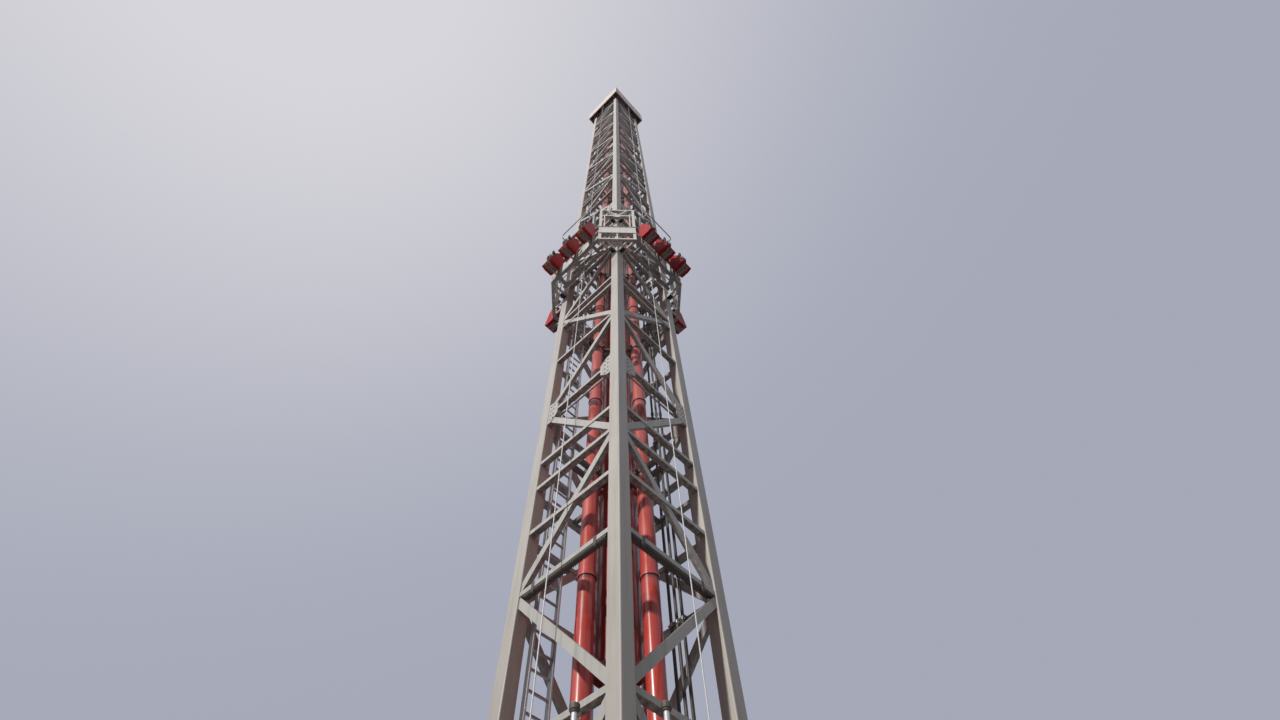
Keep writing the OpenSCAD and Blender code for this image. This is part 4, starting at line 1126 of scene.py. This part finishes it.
def makeSeats():
    # three seats with their trays and restraints on each side, and two shells between them
    outer = carriage["sideOut"] + carriage["halfBeam"]
    inner = carriage["sideOut"] - carriage["halfBeam"]
    for quarter, side in enumerate(sides):
        places = placesAlongSide(quarter, (-1, 0, 1), outer, carriage["seatLow"])
        between = placesAlongSide(quarter, (-0.5, 0.5), inner, 0)
        finishPiece(repeat(makeSeat(), places), "seat_set_" + side, "seatRed", "carriage",
                    ("seats_" + side,))
        finishPiece(repeat(makeSeatTray(), places), "seat_trays_" + side, "seatBelly", "carriage")
        finishPiece(repeat(makeBackShell(), between), "back_shells_" + side, "shellWhite", "carriage",
                    ("backs_" + side,))
        finishPiece(repeat(makeShoulderBars(), places), "shoulder_bars_" + side, "darkSteel", "carriage",
                    ("restraints_" + side,))
        padSet = finishPiece(repeat(makeShoulderPads(), places), "shoulder_pads_" + side, "padBlack",
                             "carriage")


wheel = {"round": 0.045, "wide": 0.056, "gap": 0.0005, "levels": (0.0225, 1.5825), "edge": 0.004,
         "sunk": (0.013, 0.0015, 0.005)}
hub = {"round": 0.027, "wide": 0.054, "edge": 0.0015, "sunk": (0.006, 0.001, 0.003), "nut": 0.0135,
       "nutLong": 0.008, "nutOut": 0.046}


def sinkEnds(rim, slope, deep):
    # leaves a rim round both end faces and sinks what is inside it
    openEdit()
    pickFaces(facesAlongX)
    bpy.ops.mesh.inset(thickness=rim)
    bpy.ops.mesh.inset(thickness=slope, depth=-deep)
    closeEdit()


def makeWheels():
    # tyres and hubs of the guide rollers on the outer faces of the legs
    tyre = addRound(wheel["round"], wheel["wide"], (0, 0, 0), "X", 36)
    sinkEnds(*wheel["sunk"])
    soften(tyre, wheel["edge"], 3)
    core = addRound(hub["round"], hub["wide"], (0, 0, 0), "X", 28)
    sinkEnds(*hub["sunk"])
    soften(core, hub["edge"], 1)
    nuts = [addRound(hub["nut"], hub["nutLong"], (sign * hub["nutOut"], 0, 0), "X", 6) for sign in (-1, 1)]
    middle = tower["half"] - tower["leg"] / 2
    out = tower["half"] + wheel["gap"] + wheel["round"]
    places = [turned(i) @ at(sign * middle, -out, carriage["low"] + z)
              for i in range(4) for sign in (-1, 1) for z in wheel["levels"]]
    finishPiece(repeat(tyre, places), "guide_tyres", "tyreBlack", "carriage",
                ("guide_rollers",))
    finishPiece(repeat(merge(core, *nuts), places), "wheel_hubs", "boltZinc", "carriage")


cornerPlates = {
    "width": 0.018, "tall": 0.006, "rows": (0.305, 0.590), "columns": (-0.25, -0.15, -0.05, 0.05, 0.15, 0.25),
    "sunk": 0.0005, "folds": (0.288, 0.604), "foldHalf": 0.288, "foldThick": 0.004, "foldOut": 0.012,
    "foldIn": 0.004, "edge": 0.0015,
}
cornerTurns = [turned(i) @ turned(-0.5) for i in range(4)]


def makeCornerScrews():
    # two rows of screws on the closed plate of each corner frame
    out = carriage["cornerOut"] + carriage["halfBeam"] - cornerPlates["sunk"]
    places = [turn @ at(x, -out, carriage["low"] + z)
              for turn in cornerTurns for x in cornerPlates["columns"] for z in cornerPlates["rows"]]
    screws = repeat(makeBolt(cornerPlates["width"], cornerPlates["tall"]), places)
    finishPiece(screws, "corner_plate_screws", "boltZinc", "carriage")


def makeCornerFolds():
    # a folded edge at the top and bottom of that plate
    out = carriage["cornerOut"] + carriage["halfBeam"] - cornerPlates["sunk"]
    half, thick = cornerPlates["foldHalf"], cornerPlates["foldThick"]
    parts = []
    for row in cornerPlates["folds"]:
        z = carriage["low"] + row
        fold = addBlock((-half, -out - cornerPlates["foldOut"], z - thick),
                        (half, -out + cornerPlates["foldIn"], z + thick))
        parts.append(soften(fold, cornerPlates["edge"], 1))
    folds = repeat(merge(*parts), cornerTurns)
    finishPiece(folds, "corner_plate_folds", "carriagePaint", "carriage")


sockets = {"out": 0.7345, "under": 0.460, "tall": 0.050, "lowRound": 0.0085, "topRound": 0.020, "neck": 0.008,
           "edge": 0.002, "nuts": (0.035, 0.075, 0.115), "nut": 0.010, "nutLong": 0.010, "nutSide": 0.016,
           "nutOut": 0.034, "nutEdge": 0.0015, "sharp": 50}


def makeSockets():
    # tapered rope sockets under the clamps, and nuts on the clamps' faces
    low = carriage["low"] - sockets["under"]
    dropPicks()
    bpy.ops.mesh.primitive_cone_add(vertices=20, radius1=sockets["lowRound"], radius2=sockets["topRound"],
                                    depth=sockets["tall"],
                                    location=(0, -sockets["out"], low - sockets["tall"] / 2))
    cone = settle()
    openEdit()
    pickFaces(facesUp)
    pull(0, 0, sockets["neck"])
    closeEdit()
    parts = [soften(cone, sockets["edge"], 1)]
    for z in sockets["nuts"]:
        for side in (-1, 1):
            spot = (side * sockets["nutSide"], -sockets["out"] - sockets["nutOut"], low + z)
            nut = addRound(sockets["nut"], sockets["nutLong"], spot, "Y", 6)
            parts.append(soften(nut, sockets["nutEdge"], 1, sockets["sharp"]))
    finishPiece(repeat(merge(*parts), allRound), "rope_sockets", "boltZinc", "carriage")


makeSpliceBolts()
makeBackRails()
makeAnchors()
makeTubeHeads()
makeTrays()
makeEyes()
makeClampEars()
makeLadderChannels()
makePipeSaddles()
makePipeUnions()
makeStandCaps()
makeCapTrim()
makeCapRivets()
makeKeepers()
print("fittings of the mast made")
makeSeats()
makeWheels()
makeCornerScrews()
makeCornerFolds()
makeSockets()
print("seats and fittings of the carriage made")
